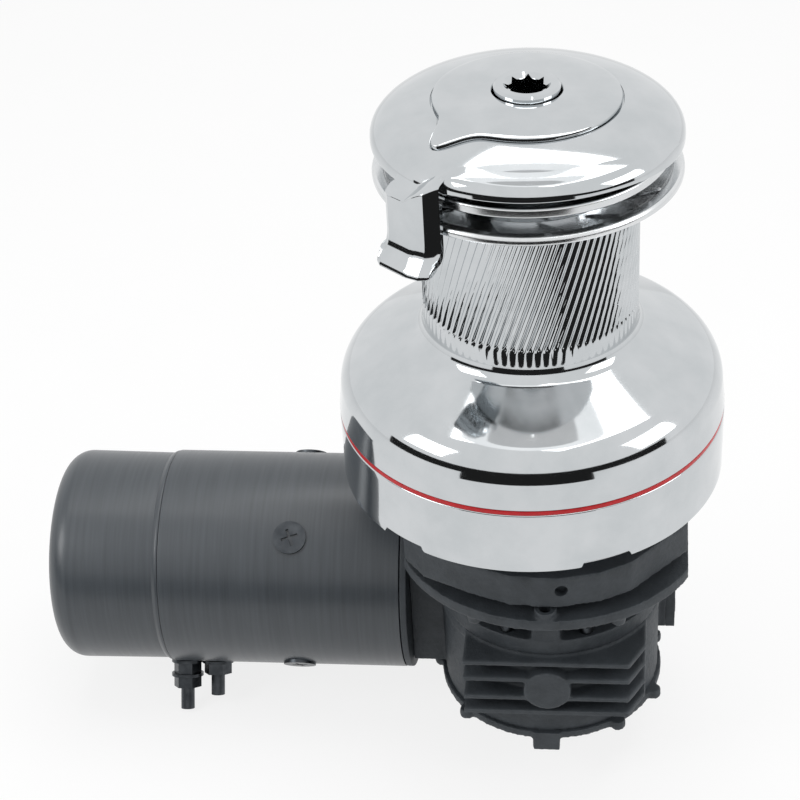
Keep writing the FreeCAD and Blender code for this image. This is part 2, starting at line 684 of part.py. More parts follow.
def star_points(square, turn):
    half = square / 2
    points = []
    for across, along in ((-half, -half), (half, -half), (half, half), (-half, half)):
        spot = vector(across, along)
        turned_spot = FreeCAD.Rotation(vector(0, 0, 1), turn).multVec(spot)
        points.append((turned_spot.x, turned_spot.y))
    return points


def make_shaft():
    head, journal = number("socket_head"), number("journal")
    top, low = number("socket_top"), -number("shaft_depth")
    shoulder = number("gear_high + 0.5")
    bevel = number("socket_chamfer")
    shaft = revolve_points([
        (0, low), (journal, low), (journal, shoulder), (head, shoulder),
        (head, top - bevel), (head - bevel, top), (0, top),
    ])
    floor = number("socket_top - socket_depth")
    for turn in (0, 45):
        shaft = shaft.cut(prism(star_points(number("socket_square"), turn), floor, top))
    mouth = number("socket_mouth")
    shaft = shaft.cut(Part.makeCone(mouth - 1.6, mouth + 0.9, 2.5, vector(0, 0, top - 2.5)))
    pocket = pawl_pocket()
    for turn in (0, 180):
        room = pocket.copy()
        room.rotate(vector(0, 0), vector(0, 0, 1), turn)
        shaft = shaft.cut(room)
    solid("main_shaft", shaft)
    for name, turn in (("left_pawl", 180), ("right_pawl", 0)):
        pawl = pawl_shape(0.0, number("pawl_low"), number("pawl_high"))
        pawl.rotate(vector(0, 0), vector(0, 0, 1), turn)
        solid(name, pawl)
    half = "coupling_half"
    tube("shaft_coupling", "journal + seat_gap", "coupling_radius", "output_top - " + half, "output_top + " + half)
    turned("output_shaft", [
        ("0", "-output_low"),
        ("output_radius", "-output_low"),
        ("output_radius", "-ring_joint"),
        ("journal", "-ring_joint"),
        ("journal", "output_top"),
        ("0", "output_top"),
    ])


def helical_gear(teeth, module, backlash, low, high, lean, rows):
    """A gear whose teeth lean round Z, between outlines that turn as they rise."""
    outline = gear_outline(teeth, module, backlash)
    sections = []
    for row in range(rows + 1):
        height = low + (high - low) * row / rows
        turn = lean * (row / rows - 0.5)
        spin_row = FreeCAD.Rotation(vector(0, 0, 1), turn)
        sections.append([spin_row.multVec(vector(across, along, height)) for across, along in outline])
    return facet_shell(sections)


def make_worm_drive():
    module = number("worm_module")
    pitch = number("worm_pitch")
    lead = math.pi * module
    lean = math.atan2(lead, 2 * math.pi * pitch)
    height = number("wheel_height")
    middle = number("worm_z")
    wheel_radius = number("worm_module * wheel_teeth / 2")
    turn = math.degrees(height * math.tan(lean) / wheel_radius)
    wheel = helical_gear(int(number("wheel_teeth")), module, 0.5, middle - height / 2, middle + height / 2, turn, 2)
    wheel = wheel.cut(cylinder(number("output_radius + seat_gap"), middle - height, middle + height))
    solid("worm_wheel", wheel)
    half, shaft = number("worm_half"), number("worm_shaft")
    left, right = number("motor_face + 30"), number("right_bearing_x + worm_bearing_width / 2")
    root = pitch - 1.3 * module
    core = revolve_points([
        (0, left), (shaft, left), (shaft, -half - 3), (root, -half), (root, half), (shaft, half + 3),
        (shaft, right), (0, right),
    ])
    thread = worm_thread(root, pitch, module, lead, half)
    worm = core.fuse(thread)
    along_worm(solid("worm", worm))


def worm_thread(root, pitch, module, lead, half):
    """One helical ridge with straight flanks, right-handed, centred on a tooth gap at its middle."""
    tip = pitch + 0.9 * module
    flank = math.tan(math.radians(20))
    wide = (math.pi * module / 4 - 0.12) + (pitch - root) * flank
    narrow = (math.pi * module / 4 - 0.12) - (tip - pitch) * flank
    length = 2 * half - 2 * wide - 1
    half_turn = 180 * length / lead
    helix = Part.makeHelix(lead, length, root)
    profile = Part.makePolygon([
        vector(root - 0.2, 0, -wide), vector(tip, 0, -narrow), vector(tip, 0, narrow), vector(root - 0.2, 0, wide),
        vector(root - 0.2, 0, -wide),
    ])
    sweep = Part.Wire(helix.Edges).makePipeShell([profile], True, True)
    sweep.translate(vector(0, 0, -length / 2))
    sweep.rotate(vector(0, 0, 0), vector(0, 0, 1), 270 - half_turn)
    return sweep


def facet_shell(rows):
    """A closed solid of flat facets between rings of points, each ring above the last."""
    faces = [Part.Face(Part.makePolygon(ring + ring[:1])) for ring in (rows[0], rows[-1])]
    for below, above in zip(rows[:-1], rows[1:]):
        for index in range(len(below)):
            after = (index + 1) % len(below)
            for corners in ((below[index], below[after], above[after]), (below[index], above[after], above[index])):
                faces.append(Part.Face(Part.makePolygon(list(corners) + [corners[0]])))
    shape = Part.Solid(Part.Shell(faces))
    if shape.Volume < 0:
        shape.reverse()
    return shape


def rib_sleeve():
    """The ribbed band of the drum: leaning ribs between outlines that turn as they rise."""
    count, rows = int(number("rib_count")), int(number("rib_rows"))
    low, high = number("rib_low"), number("rib_high")
    outer = number("drum_radius")
    root = outer - number("rib_depth")
    sections = []
    for row in range(rows + 1):
        height = low + (high - low) * row / rows
        lean = number("rib_turn") * row / rows
        corners = []
        for index in range(count):
            middle = lean + 360.0 * index / count
            pace = 360.0 / count
            for radius, share in ((outer, -0.16), (outer, 0.16), (root, 0.5)):
                corners.append(polar(radius, middle + share * pace, height))
        sections.append(corners)
    return facet_shell(sections)


def make_drum():
    blank = turned("drum_blank", [
        ("bell_inner", "bell_low"),
        ("skirt_radius", "bell_low"),
        ("bell_shoulder_radius", "bell_shoulder"),
        ("cone_outer", "cone_high", "bell_shoulder_bend"),
        ("waist_outer", "waist_low"),
        ("drum_radius", "waist_high", "-waist_bend"),
        ("drum_radius", "rib_low"),
        ("drum_radius - rib_depth - 1", "rib_low"),
        ("drum_radius - rib_depth - 1", "rib_high"),
        ("drum_radius", "rib_high"),
        ("drum_radius", "drum_top"),
        ("sleeve_radius", "drum_top"),
        ("sleeve_radius", "sleeve_top"),
        ("bearing_race", "sleeve_top"),
        ("bearing_race", "upper_bearing_low - 2"),
        ("drum_relief", "upper_bearing_low - 6"),
        ("drum_relief", "lower_bearing_high + 6"),
        ("bearing_race", "lower_bearing_high + 2"),
        ("bearing_race", "hub_low"),
        ("hub_radius", "hub_low"),
        ("hub_radius", "relief_high"),
        ("bell_relief_outer", "relief_low"),
        ("ring_seat_inner", "stem_flange_top"),
        ("bell_inner - 4", "stem_flange_top"),
        ("bell_inner", "stem_flange_top - 4"),
    ])
    drill(blank, "ring_gear_holes", "ring_screw_circle", "ring_screw + seat_gap", "stem_flange_top",
          "ring_low + ring_screw_length - stem_flange_top", "ring_screws")
    drill(blank, "crown_holes", "crown_screw_circle", "crown_screw + seat_gap",
          "upper_hub - crown_screw_length", "sleeve_top - upper_hub + crown_screw_length", "crown_screws")
    HELPERS.append(blank.Name)
    core = cylinder(number("drum_radius - rib_depth - 1.5"), number("rib_low - 1"), number("rib_high + 1"))
    solid("drum", blank.Shape.fuse(rib_sleeve().cut(core)).removeSplitter())


def crown_ribs(line, rise, slant):
    """Slanted ribs on a jaw's face. The line is the face from its inner to its outer (radius, height)."""
    (inner, low), (outer, high) = line
    width = number("crown_rib_width")
    count = int(number("crown_ribs"))
    slope = math.atan2(high - low, outer - inner)
    length = math.hypot(high - low, outer - inner)
    ribs = []
    for index in range(count):
        bar = Part.makeBox(length, width, 2 + abs(rise), vector(0, -width / 2, -2 if rise > 0 else -abs(rise)))
        bar.rotate(vector(length / 2, 0, 0), vector(0, 0, 1), slant)
        bar.rotate(vector(0, 0, 0), vector(0, 1, 0), -math.degrees(slope))
        bar.translate(vector(inner, 0, low))
        bar.rotate(vector(0, 0, 0), vector(0, 0, 1), 360.0 * index / count)
        ribs.append(bar)
    return ribs


def make_crowns():
    lower = turned("lower_crown_blank", [
        ("sleeve_radius + free_gap", "crown_hub_low"),
        ("drum_radius + free_gap", "crown_hub_low"),
        ("drum_radius + free_gap", "crown_lip_low"),
        ("drum_radius + 2.5", "crown_lip_low"),
        ("drum_radius + 7.5", "crown_lip_low + 2.6"),
        ("crown_radius", "crown_edge"),
        ("crown_radius", "crown_rim - 1"),
        ("crown_radius - 1.2", "crown_rim"),
        ("crown_face_outer + 1", "crown_rim"),
        ("crown_face_outer", "crown_face_high"),
        ("crown_face_inner", "crown_face_low"),
        ("sleeve_radius + free_gap", "crown_face_low - 1.2"),
    ])
    HELPERS.append(lower.Name)
    inner, outer = number("crown_face_inner"), number("crown_face_outer")
    line = ((inner + 1, number("crown_face_low") + 0.3), (outer - 1, number("crown_face_high") - 0.3))
    shape = lower.Shape
    for rib in crown_ribs(line, number("crown_rib_height"), number("crown_rib_slant")):
        shape = shape.fuse(rib)
    keep = ring_solid(number("sleeve_radius + free_gap"), number("crown_radius"), number("crown_lip_low"), number("clear_above"))
    solid("lower_crown", shape.common(keep).removeSplitter())
    upper = turned("upper_crown_blank", [
        ("bearing_race", "sleeve_top"),
        ("sleeve_radius", "sleeve_top"),
        ("sleeve_radius + 2", "sleeve_top + 3"),
        ("upper_radius - 2", "upper_rim - 1"),
        ("upper_radius", "upper_rim"),
        ("upper_radius", "upper_top - 1"),
        ("upper_radius - 1", "upper_top"),
        ("sleeve_radius + 8", "upper_top"),
        ("sleeve_radius + 3", "upper_hub"),
        ("bearing_race", "upper_hub"),
    ])
    drill(upper, "crown_screw_holes", "crown_screw_circle", "crown_screw + seat_gap", "sleeve_top",
          "upper_hub - sleeve_top", "crown_screws")
    drill(upper, "crown_screw_sinks", "crown_screw_circle", "crown_screw_head + seat_gap",
          "upper_hub - crown_screw_sink", "crown_screw_sink", "crown_screws")
    HELPERS.append(upper.Name)
    line = ((number("sleeve_radius + 5"), number("sleeve_top + 4.3")), (number("upper_radius - 4"),
            number("upper_rim - 1.7")))
    shape = upper.Shape
    for rib in crown_ribs(line, -number("crown_rib_height"), -number("crown_rib_slant")):
        shape = shape.fuse(rib)
    keep = ring_solid(number("bearing_race"), number("upper_radius"), number("sleeve_top"), number("upper_top"))
    solid("upper_crown", shape.common(keep).removeSplitter())
    fasteners("crown_screws", [
        ("0", "upper_hub - crown_screw_length"),
        ("crown_screw", "upper_hub - crown_screw_length"),
        ("crown_screw", "upper_hub - crown_screw_sink"),
        ("crown_screw_head", "upper_hub - crown_screw_sink"),
        ("crown_screw_head", "upper_hub"),
        ("0", "upper_hub"),
    ], "crown_screw_circle", "crown_screws")
    turned("crown_spring", [
        ("sleeve_radius + 0.6", "drum_top + 0.1"),
        ("drum_radius - 0.8", "drum_top + 1.7"),
        ("drum_radius - 0.8", "crown_hub_low - 0.1"),
        ("sleeve_radius + 0.6", "drum_top + 1.3"),
    ])


def make_bearing(name, low):
    middle = number("roller_circle")
    half = number("cage_thickness") / 2
    height = number("cage_height")
    count = int(number("roller_count"))
    cage = ring_solid(middle - half, middle + half, low, low + height)
    radius, length = number("roller_radius"), number("roller_length")
    start = low + number("cage_rim")
    rollers = []
    for index in range(count):
        turn = 360.0 * index / count
        window = Part.makeBox(20, 2 * radius + 0.3, length + 0.3, vector(middle - 10, -radius - 0.15, start - 0.15))
        window.rotate(vector(0, 0, 0), vector(0, 0, 1), turn)
        cage = cage.cut(window)
        spot = polar(middle, turn)
        rollers.append(cylinder(radius, start, start + length, spot.x, spot.y))
    solid(name + "_cage", cage)
    solid(name + "_rollers", Part.makeCompound(rollers))


def dome_height(radius, offset=0.0):
    """Height of the cap's domed top at a radius, from a rounded-box curve."""
    share = min(radius / number("cap_radius"), 1.0)
    return number("cap_rim") + offset + number("cap_rise") * (1 - share ** 2.56) ** (1 / 2.12)


def dome_solid(offset, floor, shrink=0.0):
    """A domed solid from a floor up to the cap's top surface, shifted by an offset."""
    radius = number("cap_radius")
    spots = []
    for step in range(11):
        share = math.sin(math.pi / 2 * step / 10)
        spots.append(vector(radius * share * (1 - shrink / radius), 0, dome_height(radius * share, offset)))
    curve = Part.BSplineCurve()
    curve.interpolate(spots)
    edge = curve.toShape()
    last = spots[-1]
    foot = vector(last.x, 0, floor)
    rest = Part.makePolygon([last, foot, vector(0, 0, floor), spots[0]])
    wire = Part.Wire([edge] + rest.Edges)
    return Part.Face(wire).revolve(vector(0, 0, 0), vector(0, 0, 1), 360)


def teardrop(grow, low, high):
    """The cover's outline: a disc with a tail whose sides sweep in."""
    radius = number("cover_radius") + grow
    tip_radius = number("cover_tip") + grow
    tail = number("cover_tail") - number("cover_tip")
    disc = Part.Circle(vector(0, 0, low), vector(0, 0, 1), radius)
    span = math.radians(34)
    start = vector(radius * math.cos(span), radius * math.sin(span), low)
    bend = vector(radius * 0.94 + 4, radius * math.sin(span) * 0.42 + tip_radius * 0.3, low)
    end = vector(tail + tip_radius * 0.35, tip_radius * 0.93, low)
    upper = tail_side(start, bend, end)
    lower = tail_side(mirrored(end), mirrored(bend), mirrored(start))
    nose = Part.Arc(end, vector(tail + tip_radius, 0, low), mirrored(end)).toShape()
    back = Part.Arc(mirrored(start), vector(-radius, 0, low), start).toShape()
    face = Part.Face(Part.Wire([upper, nose, lower, back]))
    shape = face.extrude(vector(0, 0, high - low))
    shape.rotate(vector(0, 0, 0), vector(0, 0, 1), number("cover_tail_angle"))
    return shape


def mirrored(spot):
    return vector(spot.x, -spot.y, spot.z)


def tail_side(first, middle, last):
    curve = Part.BSplineCurve()
    curve.interpolate([first, middle, last])
    return curve.toShape()


def arm_solid():
    """The feeder arm and its stripper finger, drawn in the plane through the axis, then turned to its place."""
    inner, outer = number("arm_inner"), number("arm_outer")
    foot, rim = number("arm_foot"), number("cap_rim")
    half = number("arm_width") / 2
    low, root = number("cap_low"), number("cap_radius - 20.9")
    side = [
        (root, low), (root, rim + 8), (root + 12, rim + 10.5), (root + 22, rim + 7), (outer - 3, rim + 1.5),
        (outer, rim - 6), (outer, foot + 15), (outer + 3, foot + 6), (outer + 8, foot + 1.5), (outer + 8, foot - 1),
        (outer, foot), (outer - 6, foot + 5), (inner, foot + 14), (inner, low),
    ]
    arm = upright_plate(side, -half, half)
    corner = prism([(inner - 2, half + 1), (outer + 12, half + 1), (outer + 12, half - 12), (inner + 3, half - 1)],
                   foot - 5, low)
    arm = arm.cut(corner)
    tip, wide = number("finger_tip"), number("finger_width")
    rope = number("crown_rim")
    finger = upright_plate([
        (tip, rope - 2.5), (tip + 10, rope + 0.8), (inner + 1, rope + 3), (inner + 1, rope + 6.4),
        (tip + 12, rope + 4.2), (tip, rope - 0.8),
    ], -wide, wide)
    shape = arm.fuse(finger)
    shape.rotate(vector(0, 0, 0), vector(0, 0, 1), number("arm_angle"))
    return shape


def upright_plate(side, start, stop):
    """A plate whose outline of (radius, height) stands on the X axis, thick along Y."""
    corners = [vector(across, start, up) for across, up in side]
    face = Part.Face(Part.makePolygon(corners + corners[:1]))
    return face.extrude(vector(0, stop - start, 0))


def scoop_cut(start, sweep, shift):
    """The hollow facet under the front of the cap, turned through an arc."""
    crease = vector(number("scoop_crease") + shift, 0, number("scoop_crease_high") - shift * 0.5)
    lip = vector(number("scoop_lip"), 0, number("scoop_lip_high"))
    middle = (crease + lip) / 2 - vector(1.6, 0, 1.2)
    bend = Part.Arc(crease, middle, lip).toShape()
    above, outside = number("clear_above"), lip.x + number("arm_thick")
    rest = Part.makePolygon([lip, vector(outside, 0, lip.z), vector(outside, 0, above), vector(crease.x, 0, above),
                             crease])
    shape = Part.Face(Part.Wire([bend] + rest.Edges)).revolve(vector(0, 0, 0), vector(0, 0, 1), sweep)
    shape.rotate(vector(0, 0, 0), vector(0, 0, 1), start)
    return shape


def make_cap():
    low, stem = number("cap_low"), number("stem_top")
    wall, above = number("cap_wall"), number("clear_above")
    cap = dome_solid(0.0, low)
    hollow = dome_solid(-wall, low - 2, wall).cut(cylinder(number("cap_hub"), low - wall, above))
    cap = cap.cut(hollow)
    cap = cap.fuse(cylinder(number("cap_hub"), stem, low + 4))
    for start, sweep, shift in ((-148, 96, 0.0), (-52, 14, 3.0), (-38, 12, 6.0)):
        cap = cap.cut(scoop_cut(start, sweep, shift))
    cap = cap.fuse(arm_solid())
    seam = number("cover_seam")
    step, thick = number("cover_step"), number("cover_thick")
    lid = dome_solid(step, stem)
    bed = dome_solid(step - thick, stem - thick)
    cover = teardrop(0.0, low, above).common(lid).cut(bed)
    recess = teardrop(seam, low, above).cut(dome_solid(step - thick - number("seat_gap"), stem - thick))
    cap = cap.cut(recess)
    head = number("socket_head")
    shaft_hole = cylinder(head + number("cover_seam"), stem, above)
    cover = cover.cut(shaft_hole)
    cap = cap.cut(shaft_hole)
    for index in range(int(number("cap_screws"))):
        spot = polar(number("cap_screw_circle"), 360.0 * index / number("cap_screws"))
        seat = number("stem_top + cap_screw_seat")
        cap = cap.cut(cylinder(number("cap_screw + seat_gap"), stem, seat + 1, spot.x, spot.y))
        cap = cap.cut(cylinder(number("cap_screw_head + free_gap"), seat, above, spot.x, spot.y))
    solid("stripper_arm", cap.removeSplitter())
    solid("top_cover", cover)
    fasteners("cap_screws", [
        ("0", "stem_top - cap_screw_length"),
        ("cap_screw", "stem_top - cap_screw_length"),
        ("cap_screw", "stem_top + cap_screw_seat"),
        ("cap_screw_head", "stem_top + cap_screw_seat"),
        ("cap_screw_head", "stem_top + cap_screw_seat + cap_screw_head"),
        ("0", "stem_top + cap_screw_seat + cap_screw_head"),
    ], "cap_screw_circle", "cap_screws")


def make_deck_parts():
    spacer = tube("deck_spacer", "spacer_bore", "spacer_radius", "-deck_space", "deck_seat")
    drill(spacer, "spacer_holes", "gearbox_bolt_circle", "gearbox_bolt + seat_gap", "-deck_space",
          "deck_space + deck_seat", "gearbox_bolts", "45")
    fasteners("gearbox_bolts", [
        ("0", "-deck_space - gearbox_bolt_depth"),
        ("gearbox_bolt", "-deck_space - gearbox_bolt_depth"),
        ("gearbox_bolt", "core_top - gearbox_bolt_sink"),
        ("gearbox_bolt_head", "core_top - gearbox_bolt_sink"),
        ("gearbox_bolt_head", "core_top - 0.2"),
        ("0", "core_top - 0.2"),
    ], "gearbox_bolt_circle", "gearbox_bolts", "45")


def flange_outline():
    """The faceted flange, front half read from left to right, rear half its mirror image."""
    left, right, reach = number("flange_left"), number("flange_right"), number("flange_front")
    front = [
        (-left, -0.55 * reach), (-0.83 * left, -0.725 * reach), (-0.47 * left, -0.875 * reach),
        (-0.12 * left, -0.985 * reach), (0.19 * right, -reach), (0.46 * right, -0.93 * reach),
        (0.65 * right, -0.82 * reach), (right, -0.41 * reach),
    ]
    rear = [(across, -along) for across, along in reversed(front)]
    return front + rear


def make_flange():
    offset = number("gear_offset")
    top, low = -number("deck_space"), -number("flange_low")
    block = prism(flange_outline(), low, top)
    core = number("neck_radius - 10")
    lip = revolve_points([
        (core, low), (number("lip_radius") - 16, low), (number("lip_radius"), -number("lip_high")),
        (number("lip_radius"), -number("lip_low")), (core, -number("lip_low")),
    ])
    neck_low = -number("neck_low")
    neck = cylinder(number("neck_radius"), neck_low, -number("lip_low"))
    web = number("neck_web") / 2
    reach = number("neck_web_radius")
    height = number("neck_height")
    webs = Part.makeBox(2 * reach, 2 * web, height, vector(-reach, -web, neck_low))
    cross = Part.makeBox(2 * web, 2 * reach, height, vector(-web, -reach, neck_low))
    joint = -number("ring_joint")
    ring = revolve_points([
        (core, joint), (number("ring_flange"), joint), (number("ring_flange"), neck_low - number("ring_flange_rise")),
        (number("ring_flange_top"), neck_low), (core, neck_low),
    ])
    lower = lip.fuse(neck).fuse(webs).fuse(cross).fuse(ring)
    lower.translate(vector(offset, 0, 0))
    shape = block.fuse(clip_left(lower, number("motor_face + free_gap")))
    bore = number("upper_output_outer + seat_gap")
    shape = shape.cut(cylinder(number("coupling_radius + wide_gap"), -number("seal_high"), top))
    shape = shape.cut(cylinder(bore, joint, joint + number("bearing_height")))
    shape = shape.cut(cylinder(bore, -number("seal_high + seal_height"), -number("seal_high")))
    shape = shape.cut(cylinder(number("journal + wide_gap"), joint, top))
    for index in range(int(number("gearbox_bolts"))):
        spot = polar(number("gearbox_bolt_circle"), 45 + 360.0 * index / number("gearbox_bolts"))
        depth = top - number("gearbox_bolt_depth")
        shape = shape.cut(cylinder(number("gearbox_bolt + seat_gap"), depth, top, spot.x, spot.y))
    shape = shape.cut(screw_holes("housing_screw", joint, neck_low, offset))
    solid("gearbox_flange", shape.removeSplitter())


def clip_left(shape, limit):
    """What lies to the right of a limit."""
    reach = number("lip_radius + gear_offset")
    box = Part.makeBox(2 * reach, 2 * reach, 2 * number("barrel_low"), vector(limit, -reach, -number("barrel_low")))
    return shape.common(box)


def screw_holes(kind, low, high, offset):
    count = int(number(kind + "s"))
    holes = []
    for index in range(count):
        spot = polar(number(kind + "_circle"), 22.5 + 360.0 * index / count)
        holes.append(cylinder(number(kind + " + seat_gap"), low, high, spot.x + offset, spot.y))
    return Part.makeCompound(holes)


def screw_set(name, kind, low, high):
    """Plain cap screws on a circle round the gearbox's own axis, heads down."""
    offset = number("gear_offset")
    count = int(number(kind + "s"))
    radius = number(kind)
    screws = []
    for index in range(count):
        spot = polar(number(kind + "_circle"), 22.5 + 360.0 * index / count)
        screws.append(cylinder(radius, low, high, spot.x + offset, spot.y).fuse(
            cylinder(radius * 1.7, low - radius * 1.6, low, spot.x + offset, spot.y)).removeSplitter())
    solid(name, Part.makeCompound(screws))


def worm_cylinder(radius, low, high):
    """A cylinder on the worm's axis between two places along X."""
    spot = vector(low, number("worm_y"), number("worm_z"))
    return Part.makeCylinder(radius, high - low, spot, vector(1, 0, 0))


def make_housing():
    offset = number("gear_offset")
    joint, low = -number("ring_joint"), -number("barrel_low")
    barrel = cylinder(number("barrel_radius"), low, joint, offset)
    barrel = barrel.fuse(cylinder(number("ring_flange"), -number("ring_flange_low"), joint, offset))
    middle_z, middle_y = number("worm_z"), number("worm_y")
    half = number("neck_half")
    face = number("motor_face")
    neck = Part.makeBox(offset - face, 2 * half, 2 * half, vector(face, middle_y - half, middle_z - half))
    end_half, end = number("end_half"), number("end_x")
    room = Part.makeBox(end - offset, 2 * end_half, 2 * end_half, vector(offset, middle_y - end_half,
                                                                        middle_z - end_half))
    above = cylinder(number("ring_flange + free_gap"), joint, 0, offset)
    body = barrel.fuse(neck).fuse(room).cut(above)
    body = body.fuse(fin_block(offset))
    body = body.fuse(front_boss())
    body = body.cut(cylinder(number("wheel_room"), -number("wheel_room_low"), joint))
    body = body.cut(cylinder(number("lower_output_outer + seat_gap"), -number("output_low") - 1, joint))
    body = body.cut(worm_cylinder(number("worm_bore"), face - 1, end + 1))
    bearing = number("worm_bearing + seat_gap")
    width = number("worm_bearing_width")
    left, right = number("left_bearing_x"), number("right_bearing_x")
    body = body.cut(worm_cylinder(bearing, face - 1, left + width / 2))
    body = body.cut(worm_cylinder(bearing, right - width / 2, end + 1))
    body = body.cut(screw_holes("housing_screw", -number("neck_low + housing_screw_length"), joint, offset))
    body = body.cut(screw_holes("cover_screw", low, low + number("cover_screw_depth + wide_gap"), offset))
    body = body.cut(end_screw_holes())
    solid("gearbox_housing", body.removeSplitter())


FIN_DEPTHS = (3, 16, 31, 42.5)
COVER_LUGS = (-128, -58, -22, 22, 58, 128, 180)


def fin_block(offset):
    """Four level cooling fins with a straight front edge and ends that run back to the barrel."""
    front, end = -number("fin_front"), -number("fin_end")
    left, right = -number("fin_left"), number("fin_right")
    fins = []
    for depth in FIN_DEPTHS:
        low = -number("ring_joint") - depth - number("fin_thick") / 2
        plan = [(left - 14, end + 10), (left, front), (right - 10, front), (right, end), (offset, 0)]
        fins.append(prism(plan, low, low + number("fin_thick")))
    return fins[0].multiFuse(fins[1:])


def front_boss():
    spot = vector(number("boss_x"), -number("fin_front") - 0.6, -number("boss_z"))
    return Part.makeCylinder(number("boss_radius"), 40, spot, vector(0, 1, 0))


def end_screw_holes():
    holes = [Part.makeCylinder(number("end_screw + seat_gap"), 60, spot, vector(1, 0, 0)) for spot in end_screw_spots()]
    return Part.makeCompound(holes)


def end_screw_spots():
    """Where the end cap's screws start, inside the end housing."""
    side, rise = number("end_screw_side"), number("end_screw_rise")
    start = number("end_x - end_screw_length + 4")
    corners = ((-side, -rise), (side, -rise), (side, rise), (-side, rise))
    return [vector(start, number("worm_y") + across, number("worm_z") + up) for across, up in corners]


def make_gearbox():
    make_flange()
    make_housing()
    offset = number("gear_offset")
    top, low = -number("barrel_low"), -number("cover_plate_low")
    plate = cylinder(number("cover_plate"), low, top, offset)
    tab = Part.makeBox(number("tab_width"), number("tab_deep"), number("tab_low") + top,
                       vector(number("tab_x - tab_width / 2"), -number("cover_plate"), -number("tab_low")))
    plate = plate.fuse(tab)
    for degrees in COVER_LUGS:
        spot = polar(number("cover_plate"), degrees)
        plate = plate.fuse(cylinder(number("cover_lug"), low, top, spot.x + offset, spot.y))
    plate = plate.cut(screw_holes("cover_screw", low, top, offset))
    solid("gearbox_cover", plate.removeSplitter())
    screw_set("cover_screws", "cover_screw", low, top + number("cover_screw_depth"))
    for name, radius, outer, base in (
            ("upper_output_bearing", "journal", "upper_output_outer", "-ring_joint"),
            ("lower_output_bearing", "output_radius", "lower_output_outer", "-output_low - 1"),
    ):
        tube(name, radius + " + run_gap", outer, base, base + " + bearing_height")
    tube("output_seal", "journal + run_gap", "upper_output_outer", "-seal_high - seal_height", "-seal_high")


def make_worm_fittings():
    rings = []
    for side in ("left", "right"):
        middle = side + "_bearing_x"
        rings.append(along_worm(tube(side + "_worm_bearing", "worm_shaft + run_gap", "worm_bearing",
                                     middle + " - worm_bearing_width / 2", middle + " + worm_bearing_width / 2")))
    together("worm_bearings", rings)
    end, thick, half = number("end_x"), number("end_cap_thick"), number("end_half")
    plate = Part.makeBox(thick, 2 * half, 2 * half, vector(end, number("worm_y") - half, number("worm_z") - half))
    spigot = worm_cylinder(number("worm_bearing"), number("right_bearing_x + worm_bearing_width / 2"), end)
    bore = worm_cylinder(number("worm_bearing - 3"), number("right_bearing_x"), end - 2)
    solid("worm_end_cap", plate.fuse(spigot.cut(bore)).cut(end_screw_holes()).removeSplitter())
    make_housing_screws(end + thick)


def make_housing_screws(end_face):
    """The screws that hold the two castings together, heads up in the open neck, and those of the end cap."""
    offset = number("gear_offset")
    count = int(number("housing_screws"))
    radius, neck = number("housing_screw"), -number("neck_low")
    screws = []
    for index in range(count):
        spot = polar(number("housing_screw_circle"), 22.5 + 360.0 * index / count)
        shank = cylinder(radius, neck - number("housing_screw_length"), neck, spot.x + offset, spot.y)
        head = cylinder(1.7 * radius, neck, neck + 2 * radius, spot.x + offset, spot.y)
        screws.append(shank.fuse(head).removeSplitter())
    for spot in end_screw_spots():
        shank = Part.makeCylinder(number("end_screw"), end_face - spot.x, spot, vector(1, 0, 0))
        head = Part.makeCylinder(1.7 * number("end_screw"), 3, vector(end_face, spot.y, spot.z), vector(1, 0, 0))
        screws.append(shank.fuse(head).removeSplitter())
    solid("housing_screws", Part.makeCompound(screws))


